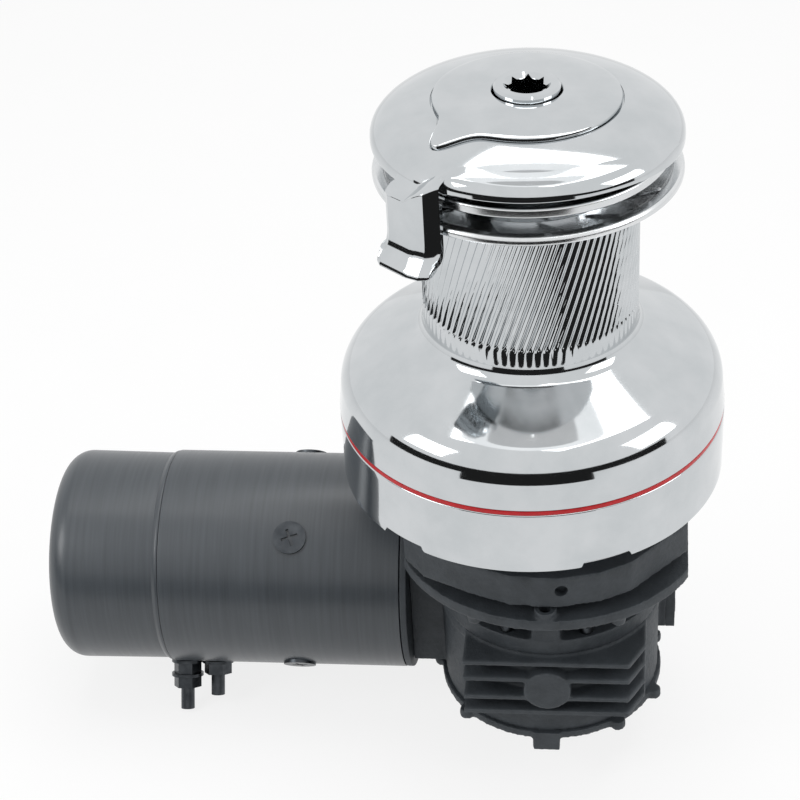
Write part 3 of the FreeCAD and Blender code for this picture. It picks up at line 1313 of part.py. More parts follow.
def make_motor():
    face_left = "(can_right)"
    flange = along_worm(turned("motor_flange", [
        ("motor_shaft_radius + 1.5", face_left + " - spigot"),
        ("motor_radius - motor_wall - seat_gap", face_left + " - spigot"),
        ("motor_radius - motor_wall - seat_gap", face_left),
        ("motor_radius", face_left),
        ("motor_radius", face_left + " + 2.2"),
        ("motor_radius - 1", face_left + " + 3"),
        ("motor_radius - 1", face_left + " + 4.2"),
        ("motor_radius", face_left + " + 5"),
        ("motor_radius", "motor_face"),
        ("motor_bearing + seat_gap", "motor_face"),
        ("motor_bearing + seat_gap", "motor_face - 13"),
        ("motor_shaft_radius + 1.5", "motor_face - 13"),
    ]))
    can = along_worm(tube("motor_can_blank", "motor_radius - motor_wall", "motor_radius", "motor_seam", face_left))
    HELPERS.append(can.Name)
    inner = "(motor_radius - motor_wall)"
    along_worm(turned("motor_end_cap", [
        ("motor_bearing + seat_gap", "motor_end + 8"),
        ("motor_bearing + seat_gap", "motor_end + 21"),
        ("motor_bearing + 5", "motor_end + 21"),
        ("motor_bearing + 6", "motor_end + 8"),
        ("motor_radius - motor_end_bend", "motor_end + 8"),
        (inner + " - 2", "motor_end + motor_end_bend + 6"),
        (inner + " - 2", "brush_middle - 3"),
        ("brush_reach + 0.6", "brush_middle - 3"),
        ("brush_reach + 0.6", "brush_middle + 3"),
        (inner + " - 2", "brush_middle + 3"),
        (inner + " - 2", "motor_seam + spigot"),
        (inner + " - seat_gap", "motor_seam + spigot"),
        (inner + " - seat_gap", "motor_seam"),
        ("motor_radius - 0.5", "motor_seam"),
        ("motor_radius - 0.5", "motor_seam - 1.2"),
        ("motor_radius - motor_taper", "motor_seam - 3"),
        ("motor_radius - motor_taper", "motor_end + motor_end_bend"),
        ("motor_radius - motor_taper - motor_end_bend", "motor_end", "-motor_end_bend"),
        ("0", "motor_end"),
        ("0", "motor_end + 8"),
    ]))
    along_worm(turned("motor_shaft", [
        ("0", "motor_end + 9"),
        ("motor_shaft_radius", "motor_end + 9"),
        ("motor_shaft_radius", "motor_face + 29.5"),
        ("0", "motor_face + 29.5"),
    ]))
    along_worm(tube("motor_coupling", "motor_shaft_radius + seat_gap", "motor_shaft_radius + 4.5",
                    "motor_face + 19", "motor_face + 34"))
    rings = []
    for side, low in (("rear", "motor_end + 9"), ("front", "motor_face - 12.5")):
        rings.append(along_worm(tube(side + "_motor_bearing", "motor_shaft_radius + run_gap", "motor_bearing", low,
                                     low + " + 11")))
    together("motor_bearings", rings)
    make_rotor()
    make_poles(can)


def make_rotor():
    left, right = number("armature_left"), number("armature_right")
    radius = number("armature_radius")
    core = ring_solid(number("motor_shaft_radius + seat_gap"), radius, left, right)
    depth, width = number("slot_depth"), number("slot_width")
    for index in range(int(number("slot_count"))):
        slot = Part.makeBox(depth, width, right - left, vector(radius - depth, -width / 2, left))
        slot.rotate(vector(0, 0, 0), vector(0, 0, 1), 360.0 * index / number("slot_count"))
        core = core.cut(slot)
    along_worm(solid("armature", core))
    along_worm(tube("commutator", "motor_shaft_radius + seat_gap", "commutator_radius", "commutator_left",
                    "commutator_right"))
    inner, reach = number("commutator_radius + run_gap"), number("brush_reach")
    width, length = number("brush_width"), number("brush_length")
    middle = number("brush_middle")
    brushes = []
    for index in range(4):
        brush = Part.makeBox(reach - inner + 3, width, length, vector(inner - 3, -width / 2, middle - length / 2))
        brush = brush.cut(cylinder(inner, middle - length, middle + length))
        brush.rotate(vector(0, 0, 0), vector(0, 0, 1), 90.0 * index)
        brushes.append(brush)
    along_worm(solid("brushes", Part.makeCompound(brushes)))


def motor_direction(degrees):
    """A direction square to the motor's axis, an angle up from the front."""
    angle = math.radians(degrees)
    return vector(0, -math.cos(angle), math.sin(angle))


def make_poles(can):
    middle = vector(0, number("worm_y"), number("worm_z"))
    inner, outer = number("pole_inner"), number("motor_radius - motor_wall - seat_gap")
    left, right = number("armature_left + 6"), number("armature_right - 6")
    arc = number("pole_arc")
    shoes, screws, cuts = [], [], []
    x = number("pole_screw_x")
    for index in range(4):
        degrees = number("pole_angle") + 90 * index
        shoe = revolve_points([(inner, left), (outer, left), (outer, right), (inner, right)], 180 - arc / 2, arc)
        shoe = along_axis(shoe)
        shoe.rotate(middle, vector(1, 0, 0), motor_turn(degrees))
        aim = motor_direction(degrees)
        spot = middle + vector(x, 0, 0)
        shank = Part.makeCylinder(number("pole_screw"), 20, spot + aim * (outer - 12), aim)
        hole = Part.makeCylinder(number("pole_screw + seat_gap"), 30, spot + aim * (outer - 12), aim)
        rise, head = number("pole_screw_rise"), number("pole_screw_head")
        seat = number("motor_radius - 1.2")
        dome = Part.makeCylinder(head, rise, spot + aim * seat, aim)
        sink = Part.makeCylinder(head + 0.4, 10, spot + aim * seat, aim)
        for turn in (0, 90):
            slot = Part.makeBox(1.8, 11, 2.2, vector(-0.9, -5.5, 0))
            slot.rotate(vector(0, 0, 0), vector(0, 0, 1), turn + 20)
            slot.Placement = FreeCAD.Placement(spot + aim * (seat + rise - 1.6),
                                               FreeCAD.Rotation(vector(0, 0, 1), aim)).multiply(slot.Placement)
            dome = dome.cut(slot)
        stop = Part.makeCylinder(number("pole_screw"), seat - outer + 12, spot + aim * (outer - 12), aim)
        screws.append(dome.fuse(stop).removeSplitter())
        shoes.append(shoe)
        cuts += [hole, sink]
    solid("pole_shoes", Part.makeCompound([shoe.cut(Part.makeCompound(cuts)) for shoe in shoes]))
    solid("pole_screws", Part.makeCompound(screws))
    make_terminals(can, cuts)


def along_axis(shape):
    """Lay a shape made along Z on the worm's axis."""
    turn = FreeCAD.Rotation(vector(0, 1, 0), 90)
    shape.Placement = FreeCAD.Placement(vector(0, number("worm_y"), number("worm_z")), turn)
    return shape


def motor_turn(degrees):
    """The turn about X that carries the top of the motor to a direction."""
    return 90 - degrees


def make_terminals(can, cuts):
    middle = vector(0, number("worm_y"), number("worm_z"))
    aim = motor_direction(-90 + number("terminal_tilt"))
    wall = number("motor_radius")
    radius = number("terminal_radius")
    studs, nuts = [], []
    for index, name in enumerate(("terminal_x", "second_terminal_x")):
        spot = middle + vector(number(name), 0, 0)
        length = number("terminal_length") - 10 * index
        inside = number("motor_radius - motor_wall + 0.3")
        studs.append(Part.makeCylinder(radius, length + wall - inside, spot + aim * inside, aim))
        cuts.append(Part.makeCylinder(radius + number("seat_gap"), 30, spot + aim * inside, aim))
        rise = wall
        for kind in ("washer", "nut", "washer", "nut")[:4 - 2 * index]:
            height = number("terminal_%s_height" % kind)
            nuts.append(stack_piece(spot, aim, rise, kind, height))
            rise += height
    shape = can.Shape.copy()
    for cut in cuts:
        shape = shape.cut(cut)
    solid("motor_can", shape)
    solid("terminal_studs", Part.makeCompound(studs))
    solid("terminal_nuts", Part.makeCompound(nuts))


def stack_piece(spot, aim, rise, kind, height):
    """A washer or a six-sided nut on a stud."""
    inner = number("terminal_radius + seat_gap")
    if kind == "washer":
        blank = cylinder(number("terminal_washer"), 0, height)
    else:
        corners = [polar(number("terminal_nut"), 60 * side) for side in range(6)]
        blank = prism([(corner.x, corner.y) for corner in corners], 0, height)
    blank = blank.cut(cylinder(inner, -1, height + 1))
    blank.Placement = FreeCAD.Placement(spot + aim * rise, FreeCAD.Rotation(vector(0, 0, 1), aim))
    return blank


def write_parts():
    doc.recompute()
    count = 0
    for item in doc.Objects:
        if "Invalid" in item.State or "Error" in item.State:
            raise RuntimeError(item.Name + " failed: " + str(item.State))
    for item in doc.Objects:
        if item.Name in HELPERS or not is_node(item):
            continue
        if item.Shape.isNull() or not item.Shape.isValid():
            raise RuntimeError(item.Label + " has no valid shape")
        item.Shape.exportStep("parts/" + item.Label + ".step")
        count += 1
        print("%-24s solids %3d volume %12.1f" % (item.Label, len(item.Shape.Solids), item.Shape.Volume))
    print(count, "nodes")


def is_node(item):
    return item.TypeId in ("PartDesign::Body", "Part::Feature", "Part::Compound")


make_foot()
make_base()
make_stem()
make_gears()
make_shaft()
make_worm_drive()
make_drum()
make_crowns()
make_bearing("lower_bearing", number("lower_bearing_low"))
make_bearing("upper_bearing", number("upper_bearing_low"))
make_cap()
make_deck_parts()
make_gearbox()
make_worm_fittings()
make_motor()
write_parts()
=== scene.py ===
import math

import bpy
from mathutils import Matrix, Vector


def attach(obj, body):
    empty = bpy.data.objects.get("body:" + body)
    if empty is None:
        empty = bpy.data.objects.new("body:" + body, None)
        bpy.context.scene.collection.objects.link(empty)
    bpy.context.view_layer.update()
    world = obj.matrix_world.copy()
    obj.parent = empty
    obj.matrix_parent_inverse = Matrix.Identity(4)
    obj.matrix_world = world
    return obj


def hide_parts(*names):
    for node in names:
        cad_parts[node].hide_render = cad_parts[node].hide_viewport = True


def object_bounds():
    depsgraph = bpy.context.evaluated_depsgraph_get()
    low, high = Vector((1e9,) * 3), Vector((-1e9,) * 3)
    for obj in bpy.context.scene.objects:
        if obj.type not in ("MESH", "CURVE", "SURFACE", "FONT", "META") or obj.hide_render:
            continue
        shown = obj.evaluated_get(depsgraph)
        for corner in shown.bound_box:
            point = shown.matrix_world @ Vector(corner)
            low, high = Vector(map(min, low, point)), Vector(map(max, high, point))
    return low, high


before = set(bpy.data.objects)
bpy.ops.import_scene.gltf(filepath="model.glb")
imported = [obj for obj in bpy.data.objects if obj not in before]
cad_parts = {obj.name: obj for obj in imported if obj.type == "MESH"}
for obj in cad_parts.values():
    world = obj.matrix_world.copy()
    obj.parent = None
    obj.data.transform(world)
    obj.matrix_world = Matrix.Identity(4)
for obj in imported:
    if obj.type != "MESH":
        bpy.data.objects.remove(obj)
cad_low, cad_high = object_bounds()

MM = 0.001

# The camera, solved from the outlines of the round parts. Pixels are those of the 800 x 800 photograph.
PHOTO_SIDE = 800
FOCAL_PIXELS = 2107.9
ORIGIN_PIXEL = (533.2, 452.6)
CAMERA_DISTANCE = 1.2898
CAMERA_AZIMUTH = math.radians(3.6)
CAMERA_ELEVATION = math.radians(36.38)
CAMERA_ROLL = math.radians(-0.97)
SENSOR_WIDTH = 36.0

# Radii and heights above the deck, in millimetres.
SKIRT_RADIUS = 115.0
SKIRT_TOP = 40.7
SKIRT_WALL = 4.0
STRIPE_TOP = 43.6
NOTCH_ARC = 14.8
NOTCH_MIDDLES = (51.9, 114.7, 231.9, 294.7)
NOTCH_DEPTH = 3.5
BELL_LOW = 43.9
BELL_SLOPE = math.radians(25.3)
SHOULDER = (113.5, 58.8)
SHOULDER_BEND = 23.3
WAIST_BEND = 10.3
DRUM_RADIUS = 62.8
DRUM_TOP = 188.0
RIB_LOW, RIB_HIGH = 113.9, 186.0
RIB_COUNT = 84
RIB_DEPTH = 1.3
RIB_TURN = math.radians(22)
SLEEVE_RADIUS = 54.0
SLEEVE_TOP = 196.0
BELL_INNER = 108.0
DRUM_HUB = 62.0
HUB_LOW = 68.1
HUB_RELIEF = 53.0
CROWN_RIBS = 14
STEPS_PER_RIB = 48
LOWER_FACE = ((59.1, 194.7), (79.7, 201.5))
UPPER_FACE = ((56.0, 199.0), (78.0, 209.5))
CROWN_RIB_WIDTH = 3.0
CROWN_RIB_RISE = 1.1
CROWN_RIB_SLANT = math.radians(24)
CROWN_RADIUS = 86.9
UPPER_CROWN_RADIUS = 80.0
UPPER_CROWN_TOP = 216.0
UPPER_HUB = 201.0
BEARING_RACE = 46.0
CAP_RADIUS = 86.9
CAP_RIM = 220.8
CAP_LOW = 218.5
CAP_RISE = 22.9
CAP_WALL = 5.0
CAP_HUB = 42.0
CAP_STEPS = 900
STEM_TOP = 212.0
FRONT_RISE = 4.5
BAND_WIDTH = 7.7
BAND_FALL = 0.32
COVER_RADIUS = 52.0
COVER_TAIL = 18.0
COVER_TAIL_ANGLE = math.radians(228)
COVER_TAIL_SPREAD = math.radians(10.5)
COVER_STEP = 2.0
COVER_THICK = 4.0
COVER_SEAM = 0.9
SOCKET_HOLE = 19.5
ARM_ANGLE = math.radians(229)
ARM_INNER = 88.5
ARM_PLAN = ((91.0, -14.0), (95.5, -12.5), (97.5, -9.0), (97.0, 9.5), (95.0, 15.8), (88.5, 21.5))
FINGER_TIP = 66.0
FINGER_HALF = 9.0
ROPE_HEIGHT = 202.4

# The gearbox and the motor, whose axis runs along X. From DECK_SPACE to FIN_DEPTHS and in the screws, names
# with LOW, TOP, JOINT or SPACE are depths below the deck, and FIN_DEPTHS are depths below the joint.
DECK_SPACE = 22.0
GEAR_OFFSET = 10.0
FLANGE_LOW = 44.0
FLANGE_PLAN = ((-76, -51.6), (-63, -68), (-35.7, -82.1), (-9.1, -92.4),
               (18, -93.8), (43.7, -87.2), (61.8, -76.9), (95, -38.5))
LIP_RADIUS = 97.5
LIP_TOP, LIP_LOW = 52.0, 58.8
LIP_ENDS = (-78.0, 96.0)
LIP_BOSSES = (-117, -61, 90)
LIP_BOSS_CIRCLE = 91.5
FLANGE_CORE = 78.0
FRONT_BOSS = (11.3, -90.5)
FRONT_HOLE = (20.8, -31.6)
NECK_RADIUS = 42.0
NECK_LOW = 91.0
JOINT = 102.0
RING_RADIUS = 70.5
RING_LOW = 109.0
BARREL_RADIUS = 69.2
BARREL_LOW = 167.0
WEB_HALF = 8.75
FIN_DEPTHS = (3, 16, 31, 42.5)
FIN_THICK = 3.6
FIN_PLAN = ((-41, -40), (-41, -77), (61.5, -77), (71.5, -58), (71.5, -25))
BOSS_PLACE = (11.0, -125.5)
BOSS_RADIUS = 14.6
HOUSING_SCREW_CIRCLE = 64.0
HOUSING_SCREW = 2.5
HOUSING_SCREW_LOW, HOUSING_HEAD_TOP = 107.0, 86.0
HEAD_SHARE = 1.7
COVER_SCREW_CIRCLE = 65.0
COVER_SCREW_HOLE = 2.05
COVER_DEPTH = 5.0
TAB_DROP = 9.5
OUTPUT_BEARING = 26.05
SHAFT_ROOM = 15.45
COUPLING_ROOM = 23.0
WHEEL_ROOM, WHEEL_BEARING = 36.0, 17.05
DECK_BOLT_CIRCLE, DECK_BOLT_HOLE = 56.0, 4.05
COVER_LUGS = (-136, -51.7, -22, 22, 58, 136, 180)
END_X = 84.0
END_HALF = 28.0
END_PLATE = 6.0
END_SCREWS = ((-22, -15), (-22, 15), (22, -15), (22, 15))
WORM_BEARING = 18.05
WORM_ROOM = 14.0
AXIS_Y, AXIS_Z = 40.0, -120.0
MOTOR_RADIUS = 70.0
MOTOR_INNER = 64.0
MOTOR_TAPER = 1.3
MOTOR_BEND = 14.0
MOTOR_BEARING = 22.05
MOTOR_FACE = -80.4
CAN_RIGHT = -84.7
MOTOR_SEAM = -239.4
MOTOR_END = -312.0
NECK_HALF = 46.0
VOXEL = 1.0
GRAIN_SIZE, GRAIN_DEPTH = 2.2, 0.35


# Small mesh helpers

def finish_mesh(name, points, faces, sharp=35.0):
    """A mesh object from points in millimetres, shaded smooth but for its sharp edges."""
    mesh = bpy.data.meshes.new(name)
    mesh.from_pydata([Vector(point) * MM for point in points], [], faces)
    mesh.validate()
    mesh.update()
    mesh.polygons.foreach_set("use_smooth", [True] * len(mesh.polygons))
    mesh.set_sharp_from_angle(angle=math.radians(sharp))
    piece = bpy.data.objects.new(name, mesh)
    bpy.context.scene.collection.objects.link(piece)
    return piece


def ring_solid(loops):
    """Points and faces of a closed ring skinned over a row of closed loops of equal length."""
    length, count = len(loops[0]), len(loops)
    faces = []
    for index in range(count):
        here, after = index * length, (index + 1) % count * length
        for step in range(length):
            beside = (step + 1) % length
            faces.append((here + step, after + step, after + beside, here + beside))
    return [point for loop in loops for point in loop], faces


def open_loft(loops):
    """Points and faces of a closed solid skinned over a row of loops, with a flat face at each end."""
    length = len(loops[0])
    points = [tuple(point) for loop in loops for point in loop]
    faces = [tuple(reversed(range(length))), tuple(range((len(loops) - 1) * length, len(loops) * length))]
    for index in range(len(loops) - 1):
        here, after = index * length, (index + 1) * length
        faces += [(here + step, here + (step + 1) % length, after + (step + 1) % length, after + step)
                  for step in range(length)]
    return points, faces


def joined(*solids):
    """Points and faces of several solids in one list."""
    points, faces = [], []
    for more_points, more_faces in solids:
        faces += [tuple(corner + len(points) for corner in face) for face in more_faces]
        points += [tuple(point) for point in more_points]
    return points, faces


def polar(radius, angle, height):
    """The point at a radius, an angle about Z in radians, and a height."""
    return (radius * math.cos(angle), radius * math.sin(angle), height)


def rounded(corners, steps=5):
    """Points along a closed outline of (radius, height, bend), each corner rounded by its bend."""
    points = []
    count = len(corners)
    for index, corner in enumerate(corners):
        here = Vector(corner[:2])
        bend = corner[2] if len(corner) > 2 else 0.0
        if not bend:
            points.append(tuple(here))
            continue
        before, after = Vector(corners[index - 1][:2]), Vector(corners[(index + 1) % count][:2])
        reach_in = min(bend, 0.49 * (before - here).length)
        reach_out = min(bend, 0.49 * (after - here).length)
        start = here + (before - here).normalized() * reach_in
        end = here + (after - here).normalized() * reach_out
        for step in range(steps + 1):
            share = step / steps
            mixed = start * (1 - share) ** 2 + here * 2 * share * (1 - share) + end * share ** 2
            points.append(tuple(mixed))
    return points


def arc(middle, radius, first, last, steps):
    """Points on a circle's arc in the plane of radius and height, from one angle to another."""
    turns = [first + (last - first) * step / steps for step in range(steps + 1)]
    return [(middle[0] + radius * math.cos(turn), middle[1] + radius * math.sin(turn)) for turn in turns]


def lathe(name, outline, segments=256, shift=None, sharp=35.0):
    """Turn a closed outline of (radius, height) about Z. shift moves a point, given its angle."""
    loops = []
    for index in range(segments):
        angle = math.tau * index / segments
        loop = outline if shift is None else [shift(radius, height, angle) for radius, height in outline]
        loops.append([polar(radius, angle, height) for radius, height in loop])
    return finish_mesh(name, *ring_solid(loops), sharp)


def smooth_step(low, high, value):
    """0 up to low and 1 from high on, with a smooth rise between them."""
    share = min(max((value - low) / (high - low), 0.0), 1.0)
    return share * share * (3 - 2 * share)


def angle_between(angle, middle):
    """The signed way from a middle to an angle, in radians."""
    return (angle - middle + math.pi) % math.tau - math.pi


# Node helpers

def link(tree, kind, settings=(), **inputs):
    """Add a node. Settings are its properties, and inputs are values or other nodes' sockets by name."""
    node = tree.nodes.new(kind)
    for name, value in dict(settings).items():
        setattr(node, name, value)
    for name, value in inputs.items():
        socket = node.inputs[name.replace("_", " ")]
        if isinstance(value, bpy.types.NodeSocket):
            tree.links.new(value, socket)
        else:
            socket.default_value = value
    return node


def new_material(name, **plain):
    """A material with a principled shader whose constants are set on its own sockets."""
    material = bpy.data.materials.new(name)
    material.use_nodes = True
    shader = material.node_tree.nodes["Principled BSDF"]
    for socket, value in plain.items():
        shader.inputs[socket.replace("_", " ")].default_value = value
    return material, material.node_tree, shader


def surface_place(tree, stretch=(1, 1, 1)):
    """The point on the piece in millimetres, stretched along X, Y and Z."""
    coordinates = link(tree, "ShaderNodeTexCoord").outputs["Object"]
    mapping = link(tree, "ShaderNodeMapping", Vector=coordinates)
    mapping.inputs["Scale"].default_value = [1000 * share for share in stretch]
    return mapping.outputs["Vector"]


def noise(tree, place, size, detail=4.0, roughness=0.55):
    """Noise whose patches are about a size in millimetres."""
    return link(tree, "ShaderNodeTexNoise", Vector=place, Scale=1 / size, Detail=detail,
                Roughness=roughness).outputs["Fac"]


def ramp(tree, factor, *stops):
    """A colour ramp through (position, colour) stops."""
    node = link(tree, "ShaderNodeValToRGB", Fac=factor)
    elements = node.color_ramp.elements
    while len(elements) < len(stops):
        elements.new(0.5)
    for element, (position, colour) in zip(elements, stops):
        element.position = position
        element.color = (*colour, 1.0)
    return node.outputs["Color"]


def spread(tree, factor, low, high):
    """A factor from 0 to 1 carried to a range."""
    node = link(tree, "ShaderNodeMapRange", Value=factor)
    node.inputs["To Min"].default_value = low
    node.inputs["To Max"].default_value = high
    return node.outputs["Result"]


def bump(tree, shader, height, strength, distance):
    """Give a shader the relief of a height factor, whose distance is in millimetres."""
    node = link(tree, "ShaderNodeBump", Height=height, Strength=strength, Distance=distance * MM)
    tree.links.new(node.outputs["Normal"], shader.inputs["Normal"])


def polished_metal(name, dark, light, smoothest, roughest):
    """Polished chrome: faint clouds in its colour and gloss, and hairlines from the buffing wheel."""
    material, tree, shader = new_material(name, Metallic=1.0)
    place = surface_place(tree)
    colour = ramp(tree, noise(tree, place, 30), (0.35, dark), (0.65, light))
    tree.links.new(colour, shader.inputs["Base Color"])
    gloss = spread(tree, noise(tree, place, 9, 6), smoothest, roughest)
    tree.links.new(gloss, shader.inputs["Roughness"])
    hairlines = noise(tree, surface_place(tree, (1, 1, 14)), 5, 3)
    bump(tree, shader, hairlines, 0.05, 0.02)
    return material


def red_enamel():
    """Red enamel with a soft gloss, slightly uneven."""
    material, tree, shader = new_material("red_trim", Coat_Weight=0.15, Coat_Roughness=0.2,
                                          Specular_IOR_Level=0.3)
    place = surface_place(tree)
    colour = ramp(tree, noise(tree, place, 6), (0.3, (0.44, 0.002, 0.006)), (0.7, (0.56, 0.004, 0.010)))
    tree.links.new(colour, shader.inputs["Base Color"])
    tree.links.new(spread(tree, noise(tree, place, 2), 0.22, 0.38), shader.inputs["Roughness"])
    bump(tree, shader, noise(tree, place, 1.2), 0.1, 0.05)
    return material


def cast_paint():
    """Matt paint on a sand casting: a grain of pits and humps, paler on worn edges."""
    material, tree, shader = new_material("gearbox_paint", Specular_IOR_Level=0.4)
    place = surface_place(tree)
    clouds = ramp(tree, noise(tree, place, 14, 6),
                  (0.3, (0.030, 0.036, 0.042)), (0.7, (0.048, 0.056, 0.064)))
    edges = link(tree, "ShaderNodeNewGeometry").outputs["Pointiness"]
    worn = link(tree, "ShaderNodeMapRange", Value=edges)
    worn.inputs["From Min"].default_value = 0.52
    worn.inputs["From Max"].default_value = 0.62
    mix = link(tree, "ShaderNodeMix", {"data_type": "RGBA"})
    tree.links.new(worn.outputs["Result"], mix.inputs["Factor"])
    tree.links.new(clouds, mix.inputs[6])
    mix.inputs[7].default_value = (0.085, 0.096, 0.106, 1.0)
    tree.links.new(mix.outputs[2], shader.inputs["Base Color"])
    tree.links.new(spread(tree, noise(tree, place, 3), 0.48, 0.70), shader.inputs["Roughness"])
    grain = link(tree, "ShaderNodeMath", {"operation": "ADD"})
    tree.links.new(noise(tree, place, 0.8, 3), grain.inputs[0])
    tree.links.new(noise(tree, place, 2.6, 2), grain.inputs[1])
    bump(tree, shader, grain.outputs["Value"], 0.55, 0.35)
    return material


def motor_paint():
    """Satin enamel over a rolled steel can: fine lines run round it, with faint streaks in its colour."""
    material, tree, shader = new_material("motor_paint", Specular_IOR_Level=0.5, Coat_Weight=0.25,
                                          Coat_Roughness=0.25)
    lines = surface_place(tree, (1, 0.04, 0.04))
    streaks = ramp(tree, noise(tree, lines, 2.4, 6),
                   (0.3, (0.034, 0.041, 0.049)), (0.7, (0.050, 0.059, 0.068)))
    tree.links.new(streaks, shader.inputs["Base Color"])
    tree.links.new(spread(tree, noise(tree, lines, 1.2, 5), 0.30, 0.46), shader.inputs["Roughness"])
    bump(tree, shader, noise(tree, lines, 0.7, 4), 0.12, 0.06)
    return material


def machined_metal(name, dark, light, size=1.5):
    """Turned or milled metal with fine tool marks."""
    material, tree, shader = new_material(name, Metallic=1.0)
    place = surface_place(tree)
    marks = surface_place(tree, (0.15, 0.15, 1))
    colour = ramp(tree, noise(tree, place, 8), (0.3, dark), (0.7, light))
    tree.links.new(colour, shader.inputs["Base Color"])
    tree.links.new(spread(tree, noise(tree, marks, size), 0.24, 0.42), shader.inputs["Roughness"])
    bump(tree, shader, noise(tree, marks, 0.5 * size), 0.2, 0.05)
    return material


def dull_solid(name, dark, light, size):
    """Rubber or carbon: no metal, with a fine grain."""
    material, tree, shader = new_material(name, Specular_IOR_Level=0.3)
    place = surface_place(tree)
    colour = ramp(tree, noise(tree, place, size), (0.3, dark), (0.7, light))
    tree.links.new(colour, shader.inputs["Base Color"])
    tree.links.new(spread(tree, noise(tree, place, 0.6 * size), 0.6, 0.8), shader.inputs["Roughness"])
    bump(tree, shader, noise(tree, place, 0.3 * size), 0.3, 0.1)
    return material


FINISHES = {
    "polished_steel": polished_metal("polished_steel", (0.54, 0.565, 0.58), (0.60, 0.62, 0.635),
                                     0.045, 0.085),
    "red_trim": red_enamel(),
    "gearbox_paint": cast_paint(),
    "motor_paint": motor_paint(),
    "inner_alloy": machined_metal("inner_alloy", (0.50, 0.51, 0.53), (0.60, 0.61, 0.63)),
    "steel": machined_metal("steel", (0.30, 0.31, 0.33), (0.42, 0.43, 0.45)),
    "bronze": machined_metal("bronze", (0.45, 0.27, 0.10), (0.60, 0.38, 0.16)),
    "copper": machined_metal("copper", (0.55, 0.22, 0.11), (0.68, 0.30, 0.16)),
    "seal_rubber": dull_solid("seal_rubber", (0.012, 0.012, 0.012), (0.025, 0.025, 0.025), 2.0),
    "carbon": dull_solid("carbon", (0.02, 0.02, 0.022), (0.04, 0.04, 0.042), 1.0),
}


# A rougher copy of the polished chrome for the crown jaws. Its paler colour is painted light that brightens
# jaws which reflect each other's shade.
SATIN_STEEL_WITH_PAINTED_LIGHT = polished_metal("satin_steel_with_painted_light", (0.66, 0.68, 0.69), (0.74, 0.75, 0.76), 0.17, 0.26)
BLACK_STEEL = machined_metal("black_steel", (0.045, 0.050, 0.056), (0.085, 0.092, 0.100))


def dress(piece, slot, finish=None):
    """Give a piece a finish in every one of its slots; without a given finish, it takes the one listed under
    slot.
    """
    finish = finish or FINISHES[slot]
    if not piece.material_slots:
        piece.data.materials.append(finish)
    for place in piece.material_slots:
        place.material = finish


def stand_for(piece, node, body, slot, finish=None):
    """A detailed piece takes the place of a CAD node."""
    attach(piece, body)
    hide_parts(node)
    dress(piece, slot, finish)


# Pieces above the deck

def make_skirt():
    """The polished foot ring, with rounded edges and shallow notches in its lower edge."""
    inner = SKIRT_RADIUS - SKIRT_WALL
    outline = rounded([
        (inner, 0, 0.6), (SKIRT_RADIUS, 0, 1.2), (SKIRT_RADIUS, 5), (SKIRT_RADIUS, SKIRT_TOP - 5),
        (SKIRT_RADIUS, SKIRT_TOP, 0.9), (inner, SKIRT_TOP, 0.4), (inner, 12.05), (inner - 6.75, 12.05, 0.3),
        (inner - 6.75, 9.05), (inner, 9.05),
    ])
    half = math.radians(NOTCH_ARC) / 2

    def notch(radius, height, angle):
        """Lift the lower edge inside the notches."""
        nearest = min(abs(angle_between(angle, math.radians(middle))) for middle in NOTCH_MIDDLES)
        lift = NOTCH_DEPTH * (1 - smooth_step(half - 0.008, half + 0.008, nearest))
        return radius, height + lift * (1 - smooth_step(0, 8, height))

    stand_for(lathe("skirt", outline, 720, notch), "base_skirt", "base", "polished_steel")


def make_stripe():
    """The thin red ring between skirt and bell, a touch inside both."""
    inner, outer = SKIRT_RADIUS - SKIRT_WALL, SKIRT_RADIUS - 0.25
    outline = rounded([
        (inner, SKIRT_TOP, 0), (outer, SKIRT_TOP, 0.5), (outer, STRIPE_TOP, 0.5), (inner, STRIPE_TOP, 0),
    ])
    stand_for(lathe("red_stripe", outline, 360), "red_stripe_ring", "base", "red_trim")


